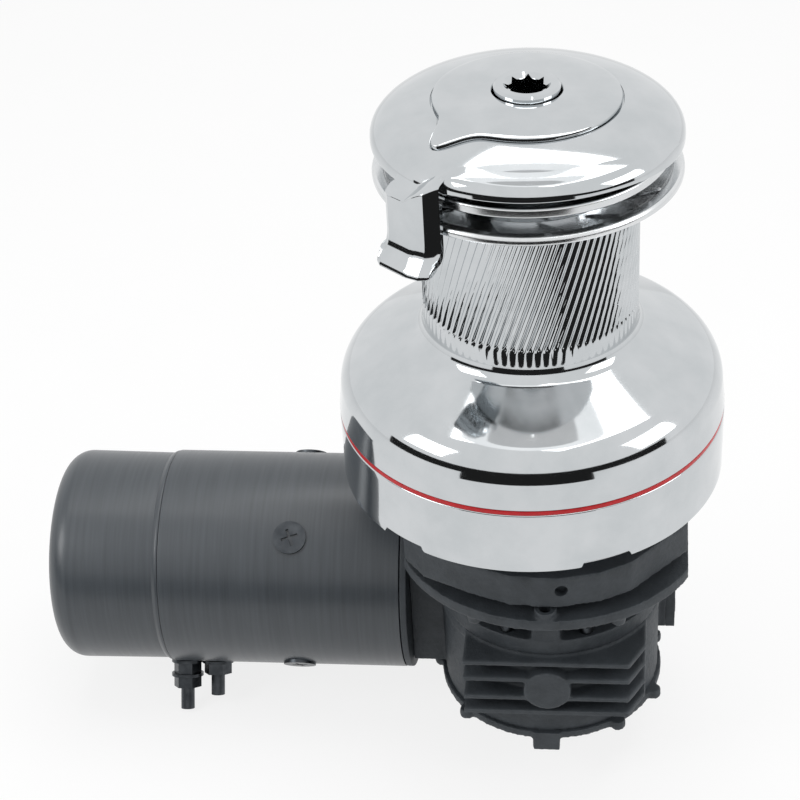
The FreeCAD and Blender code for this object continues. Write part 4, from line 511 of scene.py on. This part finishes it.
def make_drum():
    """The bell, waist and rope drum. Its slanted ribs are part of the surface."""
    middle = (SHOULDER[0] - SHOULDER_BEND, SHOULDER[1])
    slope = math.pi / 2 - BELL_SLOPE
    shoulder = arc(middle, SHOULDER_BEND, 0, slope, 20)
    cone_outer, cone_high = shoulder[-1]
    waist_outer = DRUM_RADIUS + WAIST_BEND * (1 - math.sin(BELL_SLOPE))
    waist_low = cone_high + (cone_outer - waist_outer) * math.tan(BELL_SLOPE)
    centre = (DRUM_RADIUS + WAIST_BEND, waist_low + WAIST_BEND * math.cos(BELL_SLOPE))
    waist = arc(centre, WAIST_BEND, math.pi + slope, math.pi, 14)
    cone = [(cone_outer + (waist_outer - cone_outer) * step / 6,
             cone_high + (waist_low - cone_high) * step / 6) for step in range(1, 6)]
    band = [(DRUM_RADIUS, RIB_LOW + (RIB_HIGH - RIB_LOW) * step / 48) for step in range(49)]
    foot = rounded([
        (BELL_INNER, BELL_LOW, 0), (SKIRT_RADIUS, BELL_LOW, 0.7), (SHOULDER[0], SHOULDER[1], 0),
    ])
    top_and_bore = rounded([
        (DRUM_RADIUS, RIB_HIGH, 0), (DRUM_RADIUS, DRUM_TOP, 0.6), (SLEEVE_RADIUS, DRUM_TOP, 0.5),
        (SLEEVE_RADIUS, SLEEVE_TOP, 0.4), (BEARING_RACE, SLEEVE_TOP, 0.4), (BEARING_RACE, 158.0, 0),
        (HUB_RELIEF, 154.0, 0), (HUB_RELIEF, 98.4, 0), (BEARING_RACE, 94.4, 0), (BEARING_RACE, HUB_LOW, 0.4),
        (DRUM_HUB, HUB_LOW, 0.4), (DRUM_HUB, 90.1, 0), (82.0, 80.6, 0), (84.0, 66.0, 0), (104.0, 66.0, 0),
        (BELL_INNER, 62.0, 0),
    ])
    outline = foot[:-1] + shoulder + cone + waist + band + top_and_bore[1:]

    def rib(radius, height, angle):
        """Sink the slanted grooves between the ribs."""
        inside = smooth_step(RIB_LOW - 0.2, RIB_LOW + 2.5, height)
        inside *= 1 - smooth_step(RIB_HIGH - 2, RIB_HIGH, height)
        if radius != DRUM_RADIUS or not inside:
            return radius, height
        lean = RIB_TURN * (height - RIB_LOW) / (RIB_HIGH - RIB_LOW)
        wave = 0.5 - 0.5 * math.cos(RIB_COUNT * (angle - lean))
        return radius - RIB_DEPTH * inside * smooth_step(0.05, 0.9, wave), height

    stand_for(lathe("rope_drum", outline, 8 * RIB_COUNT, rib, 50.0), "drum", "drum", "polished_steel")


def crown_ribs(start, end, rise, slant):
    """A shift that raises slanted ribs on the face between two (radius, height) points."""
    middle = (start[0] + end[0]) / 2
    slope = (end[1] - start[1]) / (end[0] - start[0])
    pitch = math.tau / CROWN_RIBS

    def shift(radius, height, angle):
        """Raise a point that lies on the face under a rib."""
        on_face = abs(start[1] + slope * (radius - start[0]) - height) < 0.01
        if not (on_face and start[0] < radius < end[0]):
            return radius, height
        lean = (radius - middle) * math.tan(slant) / radius
        away = radius * abs((angle - lean + pitch / 2) % pitch - pitch / 2) * math.cos(slant)
        fade = smooth_step(start[0], start[0] + 2, radius) * (1 - smooth_step(end[0] - 2, end[0], radius))
        side = 1 - smooth_step(0.3 * CROWN_RIB_WIDTH, 0.62 * CROWN_RIB_WIDTH, away)
        return radius, height + rise * fade * side

    return shift


def face_rows(start, end, count=14):
    """Points along a straight face, without its two ends."""
    run, climb = end[0] - start[0], end[1] - start[1]
    return [(start[0] + run * (step / count), start[1] + climb * (step / count)) for step in range(1, count)]


def make_lower_crown():
    """The sprung lower jaw, with slanted ribs on its upper face."""
    start, end = LOWER_FACE
    outline = face_rows(start, end) + [end] + rounded([
        end, (80.7, ROPE_HEIGHT, 0.8), (CROWN_RADIUS - 1.2, ROPE_HEIGHT, 0.8), (CROWN_RADIUS, 200.6, 1.2),
        (CROWN_RADIUS, 198.0, 0.9), (70.3, 189.8, 3), (65.3, 187.2, 0.8), (63.1, 187.2, 0.4),
        (63.1, 191.0, 0.3), (54.3, 191.0, 0.3), (54.3, 193.5, 0.3), start,
    ])[1:]
    ribs = crown_ribs(start, end, CROWN_RIB_RISE, CROWN_RIB_SLANT)
    jaw = lathe("lower_jaw", outline, STEPS_PER_RIB * CROWN_RIBS, ribs, 40)
    stand_for(jaw, "lower_crown", "lower_crown", "polished_steel", SATIN_STEEL_WITH_PAINTED_LIGHT)


def make_upper_crown():
    """The upper jaw, with slanted ribs on its lower face."""
    start, end = UPPER_FACE
    outline = [(BEARING_RACE, UPPER_HUB), (BEARING_RACE, SLEEVE_TOP), (SLEEVE_RADIUS, SLEEVE_TOP), start]
    outline += face_rows(start, end) + [end] + rounded([
        end, (UPPER_CROWN_RADIUS, 210.5, 0.9), (UPPER_CROWN_RADIUS, UPPER_CROWN_TOP - 1, 0.6),
        (UPPER_CROWN_RADIUS - 1, UPPER_CROWN_TOP, 0.6), (62.0, UPPER_CROWN_TOP, 1.0),
        (57.0, UPPER_HUB, 1.5), (BEARING_RACE, UPPER_HUB),
    ])[1:-1]
    ribs = crown_ribs(start, end, -CROWN_RIB_RISE, -CROWN_RIB_SLANT)
    jaw = lathe("upper_jaw", outline, STEPS_PER_RIB * CROWN_RIBS, ribs, 40)
    stand_for(jaw, "upper_crown", "drum", "polished_steel", SATIN_STEEL_WITH_PAINTED_LIGHT)


# The cap with its feeder arm

def dome(radius):
    """Height of the cap's top, a rounded-box curve."""
    share = min(radius / CAP_RADIUS, 1.0)
    return CAP_RIM + CAP_RISE * (1 - share ** 2.56) ** (1 / 2.12)


def cover_edge(angle):
    """Radius of the teardrop cover's edge."""
    away = abs(angle_between(angle, COVER_TAIL_ANGLE)) / COVER_TAIL_SPREAD
    return COVER_RADIUS + COVER_TAIL * math.exp(-away ** 1.871)


def front_share(angle):
    """1 along the cap's cut-away front, falling to 0 at the arm and on the right."""
    degrees = math.degrees(angle_between(angle, 0))
    return smooth_step(-129, -112, degrees) * (1 - smooth_step(-62, -5, degrees))


def crease_radius(angle):
    """Where the dome ends and the cut-away front begins."""
    return CAP_RADIUS - 12.9 * front_share(angle)


def front_height(radius, angle):
    """Height of the nearly flat band outside the crease. The arm's top is the same surface."""
    crease = crease_radius(angle)
    return dome(crease) - BAND_FALL * (radius - crease)


def cap_top(angle):
    """The cap's section from the socket hole over the cover's bed and the seam to the crease."""
    bed = COVER_STEP - COVER_THICK - 0.05
    seam = cover_edge(angle) + COVER_SEAM
    points = []
    for step in range(5):
        radius = SOCKET_HOLE + (seam - SOCKET_HOLE) * step / 4
        points.append((radius, dome(radius) + bed))
    points += [(seam, dome(seam) - 0.45), (seam + 0.15, dome(seam) - 0.13),
               (seam + 0.5, dome(seam + 0.5) - 0.02)]
    for step in range(1, 17):
        radius = seam + 0.5 + (crease_radius(angle) - seam - 0.5) * math.sin(math.pi / 2 * step / 16)
        points.append((radius, dome(radius)))
    return points


def cap_front(angle, foot_radius, foot):
    """The nearly flat band outside the crease, and the rim's rounded wall below it."""
    crease = crease_radius(angle)
    degrees = math.degrees(angle_between(angle, 0))
    width = max(min(BAND_WIDTH * (1 - smooth_step(-78, -48, degrees)), CAP_RADIUS - 1.7 - crease), 0.0)
    band = crease + width
    ledge = dome(crease) - BAND_FALL * width
    points = [(crease + width / 2, dome(crease) - BAND_FALL * width / 2), (band, ledge)]
    first = math.radians(30) * front_share(angle)
    for step in range(1, 11):
        turn = first + (math.pi / 2 - first) * step / 10
        across = (math.sin(turn) - math.sin(first)) / (1 - math.sin(first))
        down = (math.cos(first) - math.cos(turn)) / math.cos(first)
        points.append((band + (foot_radius - band) * across, ledge + (foot + 0.6 - ledge) * down))
    return points


def cap_underside(angle, foot_radius, foot):
    """The rim's lower edge, the hollow under the dome and the hub on the stem."""
    inner = CAP_RADIUS - CAP_WALL
    points = [(foot_radius - 0.2, foot + 0.15), (foot_radius - 0.8, foot), (inner, foot),
              (inner - 0.4, foot + 0.5)]
    for step in range(1, 9):
        radius = inner - 0.4 + (CAP_HUB + 1 - inner + 0.4) * step / 8
        skin = min(dome(radius), front_height(radius, angle), dome(crease_radius(angle)))
        points.append((radius, max(skin - CAP_WALL, foot + 0.8)))
    return points + [(CAP_HUB, 232.0), (CAP_HUB, STEM_TOP), (SOCKET_HOLE, STEM_TOP)]


def cap_outline(angle):
    """The cap's closed section at an angle."""
    share = front_share(angle)
    foot_radius, foot = CAP_RADIUS - 0.5 * share, CAP_LOW + FRONT_RISE * share
    return cap_top(angle) + cap_front(angle, foot_radius, foot) + cap_underside(angle, foot_radius, foot)


def arm_reach(turn):
    """Radius of the arm's outer side at an angle from its middle, along the straight facets of its plan."""
    aim = Vector((math.cos(turn), math.sin(turn)))
    for index in range(len(ARM_PLAN) - 1):
        start, end = Vector(ARM_PLAN[index]), Vector(ARM_PLAN[index + 1])
        if turn <= math.atan2(end.y, end.x) + 1e-6:
            break
    along = end - start
    return (start.x * along.y - start.y * along.x) / (aim.x * along.y - aim.y * along.x)


def arm_loops():
    """Sections of the feeder arm from its left end to its right end."""
    turns = [math.atan2(side, reach) for reach, side in ARM_PLAN]
    stations = []
    for index in range(len(turns) - 1):
        stations += [turns[index] + (turns[index + 1] - turns[index]) * step / 6 for step in range(6)]
    stations.append(turns[-1])
    loops = []
    for turn in stations:
        angle = ARM_ANGLE + turn
        crease, reach = crease_radius(angle), arm_reach(turn)
        edge = min(smooth_step(0, 0.03, turn - turns[0]), smooth_step(0, 0.03, turns[-1] - turn))
        foot = 6 * (1 - edge)
        top = [(crease - 2, dome(crease - 2) - 1.6), (crease - 0.3, dome(crease - 0.3) - 0.05)]
        for step in range(1, 5):
            radius = crease + (reach - 2 - crease) * step / 4
            top.append((radius, front_height(radius, angle)))
        high = front_height(reach - 2, angle)
        outline = top + rounded([
            (reach - 2, high), (reach, high - 0.7, 1.3), (reach, 188, 7), (reach + 7, 179.5 + foot, 2),
            (reach + 8, 176.5 + foot, 0.8), (reach, 176.9 + foot, 4), (ARM_INNER, 188, 4),
            (ARM_INNER, CAP_LOW - 1), (84.5, CAP_LOW + 1.5),
        ], 4)[1:]
        loops.append([polar(radius, angle, height) for radius, height in outline])
    return loops


def finger_loops():
    """The stripper finger, which reaches into the rope groove."""
    outline = rounded([
        (FINGER_TIP, ROPE_HEIGHT - 2.5, 0.5), (FINGER_TIP + 10, ROPE_HEIGHT + 0.8),
        (ARM_INNER + 1, ROPE_HEIGHT + 3), (ARM_INNER + 1, ROPE_HEIGHT + 6.4),
        (FINGER_TIP + 12, ROPE_HEIGHT + 4.2), (FINGER_TIP, ROPE_HEIGHT - 0.8, 0.5),
    ], 3)
    middle = ROPE_HEIGHT + 1.5
    turn = Matrix.Rotation(ARM_ANGLE, 3, "Z")
    loops = []
    for side in (-1, -0.94, -0.6, 0, 0.6, 0.94, 1):
        shrink = 0.25 if abs(side) == 1 else 0.0
        loops.append([turn @ Vector((across, side * FINGER_HALF, up + (middle - up) * shrink))
                      for across, up in outline])
    return loops


def make_cap():
    """The domed cap, its feeder arm and the stripper finger, one casting."""
    loops = []
    for index in range(CAP_STEPS):
        angle = math.tau * index / CAP_STEPS
        loops.append([polar(radius, angle, height) for radius, height in cap_outline(angle)])
    points, faces = joined(ring_solid(loops), open_loft(arm_loops()), open_loft(finger_loops()))
    stand_for(finish_mesh("cap_and_arm", points, faces, 24), "stripper_arm", "base", "polished_steel")


def make_top_cover():
    """The teardrop cover, plain on top, standing a little proud of the dome."""
    loops = []
    for index in range(CAP_STEPS):
        angle = math.tau * index / CAP_STEPS
        edge = cover_edge(angle)
        rows = [SOCKET_HOLE + 0.4 + (edge - 0.6 - SOCKET_HOLE - 0.4) * step / 14 for step in range(15)]
        high, half_way = dome(edge) + COVER_STEP, (edge + SOCKET_HOLE) / 2
        outline = [(SOCKET_HOLE, dome(SOCKET_HOLE) - 1.9), (SOCKET_HOLE, dome(SOCKET_HOLE) + COVER_STEP - 0.4)]
        outline += [(radius, dome(radius) + COVER_STEP) for radius in rows]
        outline += [(edge - 0.18, high - 0.12), (edge, high - 0.55), (edge, high - COVER_THICK)]
        outline.append((half_way, dome(half_way) + COVER_STEP - COVER_THICK))
        loops.append([polar(radius, angle, height) for radius, height in outline])
    points, faces = ring_solid(loops)
    stand_for(finish_mesh("teardrop_cover", points, faces, 32), "top_cover", "base", "polished_steel")


# Pieces under the deck

def prism(plan, low, high):
    """Points and faces of an upright solid with a plan outline that runs anticlockwise."""
    return open_loft([[(across, along, height) for across, along in plan] for height in (low, high)])


def circle(radius, sides):
    """The two ways from the middle to each corner of a many-sided circle."""
    turns = [math.tau * side / sides for side in range(sides)]
    return [(radius * math.cos(turn), radius * math.sin(turn)) for turn in turns]


def disc(radius, low, high, across=GEAR_OFFSET, along=0.0, top=None, sides=96):
    """An upright round solid. With top, it tapers to that radius."""
    return open_loft([[(across + right, along + back, height) for right, back in circle(size, sides)]
                      for height, size in ((low, radius), (high, top or radius))])


def box(low, high):
    """A block between two corners."""
    (left, front, bottom), (right, back, top) = low, high
    return prism([(left, front), (right, front), (right, back), (left, back)], bottom, top)


def rod(radius, start, end, along=AXIS_Y, up=AXIS_Z, sides=64):
    """A round solid that lies along X."""
    return open_loft([[(across, along + back, up + rise) for back, rise in circle(radius, sides)]
                      for across in (start, end)])


def post(radius, across, up, start, end, sides=64):
    """A round solid that lies along Y."""
    return open_loft([[(across + right, along, up - drop) for right, drop in circle(radius, sides)]
                      for along in (start, end)])


def on_circle(radius, degrees, offset=GEAR_OFFSET):
    """A place on a circle round the gearbox's own axis."""
    turn = math.radians(degrees)
    return offset + radius * math.cos(turn), radius * math.sin(turn)


def eight_around(radius, reach, low, high):
    """Eight upright round solids, evenly spaced round the gearbox's own axis."""
    solids = []
    for index in range(8):
        across, along = on_circle(reach, 22.5 + 45 * index)
        solids.append(disc(radius, low, high, across, along, sides=24))
    return solids


def casting(name, node, solids, cuts):
    """Solids joined under one skin with rounded edges and a grain, like a sand casting, and bored out."""
    piece = finish_mesh(name, *joined(*solids))
    skin = piece.modifiers.new("skin", "REMESH")
    skin.mode = "VOXEL"
    skin.voxel_size = VOXEL * MM
    skin.use_smooth_shade = True
    soften = piece.modifiers.new("soften", "SMOOTH")
    soften.factor, soften.iterations = 0.5, 3
    grain = piece.modifiers.new("grain", "DISPLACE")
    grain.texture = bpy.data.textures.get("grain") or bpy.data.textures.new("grain", "CLOUDS")
    grain.texture.noise_scale = GRAIN_SIZE * MM
    grain.texture_coords = "LOCAL"
    grain.strength = GRAIN_DEPTH * MM
    tool = finish_mesh(name + "_bores", *joined(*cuts))
    bores = piece.modifiers.new("bores", "BOOLEAN")
    bores.operation, bores.object, bores.solver = "DIFFERENCE", tool, "EXACT"
    bpy.context.view_layer.update()
    done = bpy.data.meshes.new_from_object(piece.evaluated_get(bpy.context.evaluated_depsgraph_get()))
    piece.modifiers.clear()
    piece.data = done
    bpy.data.objects.remove(tool)
    done.set_sharp_from_angle(angle=math.radians(50))
    stand_for(piece, node, "base", "gearbox_paint")


def make_upper_casting():
    """The faceted flange, the thin lip that rings it, the open neck with four webs, and the ring flange."""
    plan = list(FLANGE_PLAN) + [(across, -along) for across, along in reversed(FLANGE_PLAN)]
    lip = []
    for side in range(144):
        across, along = on_circle(LIP_RADIUS, 2.5 * side)
        lip.append((min(max(across, LIP_ENDS[0]), LIP_ENDS[1]), along))
    web, web_low, web_high = RING_RADIUS - 0.7, -NECK_LOW - 1, -LIP_LOW + 1
    solids = [
        prism(plan, -FLANGE_LOW, -DECK_SPACE), prism(lip, -LIP_LOW - 0.4, -LIP_TOP),
        disc(FLANGE_CORE, -LIP_LOW, -40),
        disc(NECK_RADIUS, -NECK_LOW, web_high), disc(RING_RADIUS, -JOINT, -NECK_LOW),
        box((GEAR_OFFSET - web, -WEB_HALF, web_low), (GEAR_OFFSET + web, WEB_HALF, web_high)),
        box((GEAR_OFFSET - WEB_HALF, -web, web_low), (GEAR_OFFSET + WEB_HALF, web, web_high)),
    ]
    for degrees in LIP_BOSSES:
        across, along = on_circle(LIP_BOSS_CIRCLE, degrees)
        solids.append(disc(4.2, -65.5, -LIP_LOW + 2, across, along, 5.6, 32))
    solids.append(disc(4.5, -60.5, -47, *FRONT_BOSS, 7.0, 32))
    cuts = [
        disc(COUPLING_ROOM, -40.0, -DECK_SPACE + 1, 0), disc(OUTPUT_BEARING, -48.0, -39.0, 0),
        disc(OUTPUT_BEARING, -JOINT - 1, -JOINT + 12, 0), disc(SHAFT_ROOM, -JOINT + 11, -47, 0),
        post(3.9, *FRONT_HOLE, -96, -88, 32),
        disc(3.6, -53.0, -45.0, FRONT_BOSS[0], FRONT_BOSS[1] - 0.7, sides=32),
    ]
    cuts += eight_around(HOUSING_SCREW + 0.05, HOUSING_SCREW_CIRCLE, -JOINT - 1, -NECK_LOW + 1)
    for index in range(4):
        across, along = on_circle(DECK_BOLT_CIRCLE, 45 + 90 * index, 0)
        cuts.append(disc(DECK_BOLT_HOLE, -42.0, -DECK_SPACE + 1, across, along, sides=32))
    casting("upper_casting", "gearbox_flange", solids, cuts)


def make_lower_casting():
    """The barrel with its fins, front boss, motor neck and end housing."""
    neck_front, neck_back = AXIS_Y - NECK_HALF, AXIS_Y + NECK_HALF
    end_front, end_back = AXIS_Y - END_HALF, AXIS_Y + END_HALF
    solids = [
        disc(BARREL_RADIUS, -BARREL_LOW, -JOINT), disc(RING_RADIUS, -RING_LOW, -JOINT),
        post(BOSS_RADIUS, *BOSS_PLACE, -78.6, -40),
        box((MOTOR_FACE, neck_front, AXIS_Z - NECK_HALF), (GEAR_OFFSET, neck_back, -JOINT)),
        box((MOTOR_FACE, neck_front, -JOINT - 1),
            (GEAR_OFFSET - RING_RADIUS - 4, neck_back, AXIS_Z + NECK_HALF)),
        box((GEAR_OFFSET, end_front, AXIS_Z - END_HALF), (END_X, end_back, -JOINT)),
        box((GEAR_OFFSET + RING_RADIUS + 1, end_front, -JOINT - 1), (END_X, end_back, AXIS_Z + END_HALF)),
    ]
    for depth in FIN_DEPTHS:
        middle = -JOINT - depth
        solids.append(prism(FIN_PLAN, middle - FIN_THICK / 2, middle + FIN_THICK / 2))
    cuts = [
        disc(WHEEL_ROOM, -140.0, -JOINT + 1, 0), disc(WHEEL_BEARING, -152.0, -139.0, 0),
        rod(WORM_ROOM, MOTOR_FACE - 1, END_X + 1), rod(WORM_BEARING, MOTOR_FACE - 1, -40),
        rod(WORM_BEARING, 56, END_X + 1),
    ]
    cuts += eight_around(HOUSING_SCREW + 0.05, HOUSING_SCREW_CIRCLE, -HOUSING_SCREW_LOW, -JOINT + 1)
    cuts += eight_around(COVER_SCREW_HOLE, COVER_SCREW_CIRCLE, -BARREL_LOW - 1, -158.0)
    casting("lower_casting", "gearbox_housing", solids, cuts)


def make_gearbox_cover():
    """The bottom cover with its lugs and the tab under the front."""
    low, top = -BARREL_LOW - COVER_DEPTH, -BARREL_LOW
    solids = [disc(BARREL_RADIUS + 2.4, low, top), box((1.2, -72, low - TAB_DROP), (18.2, -63, top))]
    for degrees in COVER_LUGS:
        across, along = on_circle(BARREL_RADIUS + 3, degrees)
        solids.append(disc(4.8, low - 1, top, across, along, sides=32))
    holes = eight_around(COVER_SCREW_HOLE, COVER_SCREW_CIRCLE, low - 1, top + 1)
    casting("bottom_cover", "gearbox_cover", solids, holes)


def make_end_cap():
    """The square plate that closes the worm's bearing."""
    solids = [
        box((END_X, AXIS_Y - END_HALF, AXIS_Z - END_HALF),
            (END_X + END_PLATE, AXIS_Y + END_HALF, AXIS_Z + END_HALF)),
        rod(17.9, 68.2, END_X + 1),
    ]
    casting("end_plate", "worm_end_cap", solids, [rod(13, 68, END_X - 2)])


def make_housing_screws():
    """The screws that join the castings, heads up in the open neck, and the end plate's four sunk ones."""
    solids = eight_around(HOUSING_SCREW, HOUSING_SCREW_CIRCLE, -HOUSING_SCREW_LOW, -NECK_LOW)
    solids += eight_around(HEAD_SHARE * HOUSING_SCREW, HOUSING_SCREW_CIRCLE, -NECK_LOW, -HOUSING_HEAD_TOP)
    for side, rise in END_SCREWS:
        solids.append(rod(HOUSING_SCREW, END_X - 8, END_X + 4, AXIS_Y + side, AXIS_Z + rise, 24))
        solids.append(rod(4.2, END_X + 2, END_X + END_PLATE + 0.3, AXIS_Y + side, AXIS_Z + rise, 24))
    screws = finish_mesh("casting_screws", *joined(*solids))
    stand_for(screws, "housing_screws", "base", "steel", BLACK_STEEL)


def lay_down(outline, name):
    """Turn a closed outline of (radius, place along X) about the motor's axis."""
    loops = []
    for index in range(256):
        angle = math.tau * index / 256
        loops.append([(place, AXIS_Y + radius * math.sin(angle), AXIS_Z + radius * math.cos(angle))
                      for radius, place in outline])
    return finish_mesh(name, *ring_solid(loops))


def make_motor():
    """The rolled can, its end cap with a rounded end, and the flange on the gearbox."""
    inner, fitted = MOTOR_INNER, MOTOR_INNER - 0.1
    left, right = MOTOR_SEAM + 0.3, CAN_RIGHT - 0.5
    can = rounded([
        (inner, left, 0.3), (MOTOR_RADIUS, left, 0.6), (MOTOR_RADIUS, right, 0.6), (inner, right, 0.3),
    ])
    stand_for(lay_down(can, "can_skin"), "motor_can", "base", "motor_paint")
    rim = MOTOR_RADIUS - 0.2
    flange = rounded([
        (10.5, -105), (fitted, -105, 0.5), (fitted, CAN_RIGHT), (MOTOR_RADIUS - 0.6, CAN_RIGHT, 0.3),
        (rim, CAN_RIGHT + 0.6, 0.4), (rim, MOTOR_FACE, 0.8), (MOTOR_BEARING, MOTOR_FACE),
        (MOTOR_BEARING, -100.3), (10.5, -100.3),
    ])
    stand_for(lay_down(flange, "flange_ring"), "motor_flange", "base", "gearbox_paint")
    skin, lip = MOTOR_RADIUS - MOTOR_TAPER, MOTOR_RADIUS - 0.4
    floor = MOTOR_END + 8
    corner = arc((skin - MOTOR_BEND, MOTOR_END + MOTOR_BEND), MOTOR_BEND, 0, -math.pi / 2, 12)
    end = rounded([
        (MOTOR_BEARING, floor), (MOTOR_BEARING, -291), (27, -291), (28, floor), (56, floor), (62, -292),
        (62, MOTOR_SEAM + 8), (fitted, MOTOR_SEAM + 8, 0.5), (fitted, MOTOR_SEAM + 0.1),
        (lip, MOTOR_SEAM + 0.1, 0.4), (lip, MOTOR_SEAM - 1.4, 0.6), (skin, MOTOR_SEAM - 3.0, 1.0),
    ]) + corner + [(0.5, MOTOR_END), (0.5, floor)]
    stand_for(lay_down(end, "end_bell"), "motor_end_cap", "base", "motor_paint")


make_skirt()
make_stripe()
make_drum()
make_lower_crown()
make_upper_crown()
make_cap()
make_top_cover()
make_upper_casting()
make_lower_casting()
make_gearbox_cover()
make_end_cap()
make_housing_screws()
make_motor()


# The carried-over CAD nodes. Those whose names begin like DARK_NODES are dark in the photograph.

DARK_NODES = ("pole_screws", "terminal_nuts", "terminal_studs")


def tidy_shading(node):
    """Join the facets' corners, so that round faces shade smooth and sharp edges stay."""
    node.data.polygons.foreach_set("use_smooth", [True] * len(node.data.polygons))
    weld = node.modifiers.new("weld", "WELD")
    weld.merge_threshold = 0.002 * MM
    split = node.modifiers.new("split", "EDGE_SPLIT")
    split.split_angle = math.radians(28)


for cad_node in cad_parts.values():
    if not cad_node.hide_render:
        tidy_shading(cad_node)
        node_slot = cad_node.material_slots[0].material.name.split(".")[0]
        dress(cad_node, node_slot, BLACK_STEEL if cad_node.name.startswith(DARK_NODES) else None)


# The studio

def make_camera():
    """A camera where the photographer stood, shifted so that the frame is the photograph's."""
    aim = Vector((-math.sin(CAMERA_AZIMUTH) * math.cos(CAMERA_ELEVATION),
                  math.cos(CAMERA_AZIMUTH) * math.cos(CAMERA_ELEVATION), -math.sin(CAMERA_ELEVATION)))
    level = Vector((math.cos(CAMERA_AZIMUTH), math.sin(CAMERA_AZIMUTH), 0))
    upright = level.cross(aim)
    right = level * math.cos(CAMERA_ROLL) + upright * math.sin(CAMERA_ROLL)
    up = upright * math.cos(CAMERA_ROLL) - level * math.sin(CAMERA_ROLL)
    lens = bpy.data.cameras.new("camera")
    lens.sensor_width = SENSOR_WIDTH
    lens.lens = SENSOR_WIDTH * FOCAL_PIXELS / PHOTO_SIDE
    lens.shift_x = 0.5 - ORIGIN_PIXEL[0] / PHOTO_SIDE
    lens.shift_y = ORIGIN_PIXEL[1] / PHOTO_SIDE - 0.5
    camera = bpy.data.objects.new("camera", lens)
    turn = Matrix((right, up, -aim)).transposed()
    camera.matrix_world = Matrix.Translation(-aim * CAMERA_DISTANCE) @ turn.to_4x4()
    bpy.context.scene.collection.objects.link(camera)
    bpy.context.scene.camera = camera


def seen_plainly(tree):
    """1 for rays from the camera, and for rays that metal or glass sends on."""
    path = link(tree, "ShaderNodeLightPath")
    either = link(tree, "ShaderNodeMath", {"operation": "MAXIMUM"})
    tree.links.new(path.outputs["Is Camera Ray"], either.inputs[0])
    tree.links.new(path.outputs["Is Glossy Ray"], either.inputs[1])
    all_three = link(tree, "ShaderNodeMath", {"operation": "MAXIMUM"})
    tree.links.new(either.outputs["Value"], all_three.inputs[0])
    tree.links.new(path.outputs["Is Transmission Ray"], all_three.inputs[1])
    return all_three.outputs["Value"]


def make_world():
    """White to look at, and a soft dim light on the object."""
    world = bpy.data.worlds.new("studio")
    world.use_nodes = True
    bpy.context.scene.world = world
    tree = world.node_tree
    background = tree.nodes["Background"]
    background.inputs["Color"].default_value = (1, 1, 1, 1)
    tree.links.new(spread(tree, seen_plainly(tree), 0.45, 1.0), background.inputs["Strength"])


def make_floor():
    """A pale floor that keeps a soft shadow under the object."""
    low = cad_low.z
    size = 6.0
    mesh = bpy.data.meshes.new("floor")
    mesh.from_pydata([(-size, -size, low), (size, -size, low), (size, size, low), (-size, size, low)], [],
                     [(0, 1, 2, 3)])
    floor = bpy.data.objects.new("floor", mesh)
    bpy.context.scene.collection.objects.link(floor)
    material, tree, shader = new_material("floor", Roughness=0.9, Specular_IOR_Level=0.1)
    place = surface_place(tree)
    colour = ramp(tree, noise(tree, place, 60), (0.3, (0.86, 0.86, 0.86)), (0.7, (0.88, 0.88, 0.88)))
    tree.links.new(colour, shader.inputs["Base Color"])
    glow = link(tree, "ShaderNodeEmission", Strength=1.0)
    mix = link(tree, "ShaderNodeMixShader")
    tree.links.new(spread(tree, seen_plainly(tree), 0.0, 0.82), mix.inputs[0])
    tree.links.new(shader.outputs["BSDF"], mix.inputs[1])
    tree.links.new(glow.outputs["Emission"], mix.inputs[2])
    tree.links.new(mix.outputs["Shader"], tree.nodes["Material Output"].inputs["Surface"])
    floor.data.materials.append(material)


def stage_card(name, points, strength):
    """A studio card that only reflections see."""
    mesh = bpy.data.meshes.new(name)
    mesh.from_pydata(points, [], [tuple(range(len(points)))])
    card = bpy.data.objects.new(name, mesh)
    bpy.context.scene.collection.objects.link(card)
    material = bpy.data.materials.new(name)
    material.use_nodes = True
    tree = material.node_tree
    tree.nodes.clear()
    glow = link(tree, "ShaderNodeEmission", Strength=strength)
    output = link(tree, "ShaderNodeOutputMaterial")
    tree.links.new(glow.outputs["Emission"], output.inputs["Surface"])
    mesh.materials.append(material)
    card.visible_camera = False
    card.visible_shadow = False
    card.visible_diffuse = False


def ring_cards(name, near, far, low, high, first, last, strength, count=12):
    """A band of cards round the object between two reaches and heights, over an arc of azimuths."""
    for index in range(count):
        start = math.radians(first + (last - first) * index / count)
        stop = math.radians(first + (last - first) * (index + 1) / count)
        corners = [(near, start, low), (near, stop, low), (far, stop, high), (far, start, high)]
        stage_card("%s_%d" % (name, index), [polar(*corner) for corner in corners], strength)


def make_cards():
    """The dark side of the studio behind the camera, and a grey ceiling with a bright ring round it."""
    floor, wall, ceiling, ring = cad_low.z + 0.004, 2.4, 1.6, 0.36
    ring_cards("dark_floor", 0.62, wall, floor, floor, 235, 305, 0.02)
    ring_cards("dark_wall", wall, wall, floor, 0.40, 190, 350, 0.02)
    ring_cards("grey_top", 0.01, ring, ceiling, ceiling, 0, 360, 0.72, 24)
    ring_cards("bright_strip", ring, 0.60, ceiling, ceiling, 0, 360, 1.35, 24)


def make_lamps():
    """Three soft lamps: one overhead and one from each side."""
    for name, place, size, power in (
            ("overhead", (0.1, 0.2, 1.9), 1.6, 26),
            ("left", (-1.6, -0.9, 1.1), 0.9, 12),
            ("right", (1.7, -0.4, 0.9), 0.9, 9),
    ):
        data = bpy.data.lights.new(name, "AREA")
        data.size = size
        data.energy = power
        lamp = bpy.data.objects.new(name, data)
        lamp.location = place
        lamp.rotation_euler = (-Vector(place)).to_track_quat("-Z", "Y").to_euler()
        bpy.context.scene.collection.objects.link(lamp)


make_camera()
make_world()
make_floor()
make_cards()
make_lamps()
bpy.context.scene.view_settings.view_transform = "Standard"
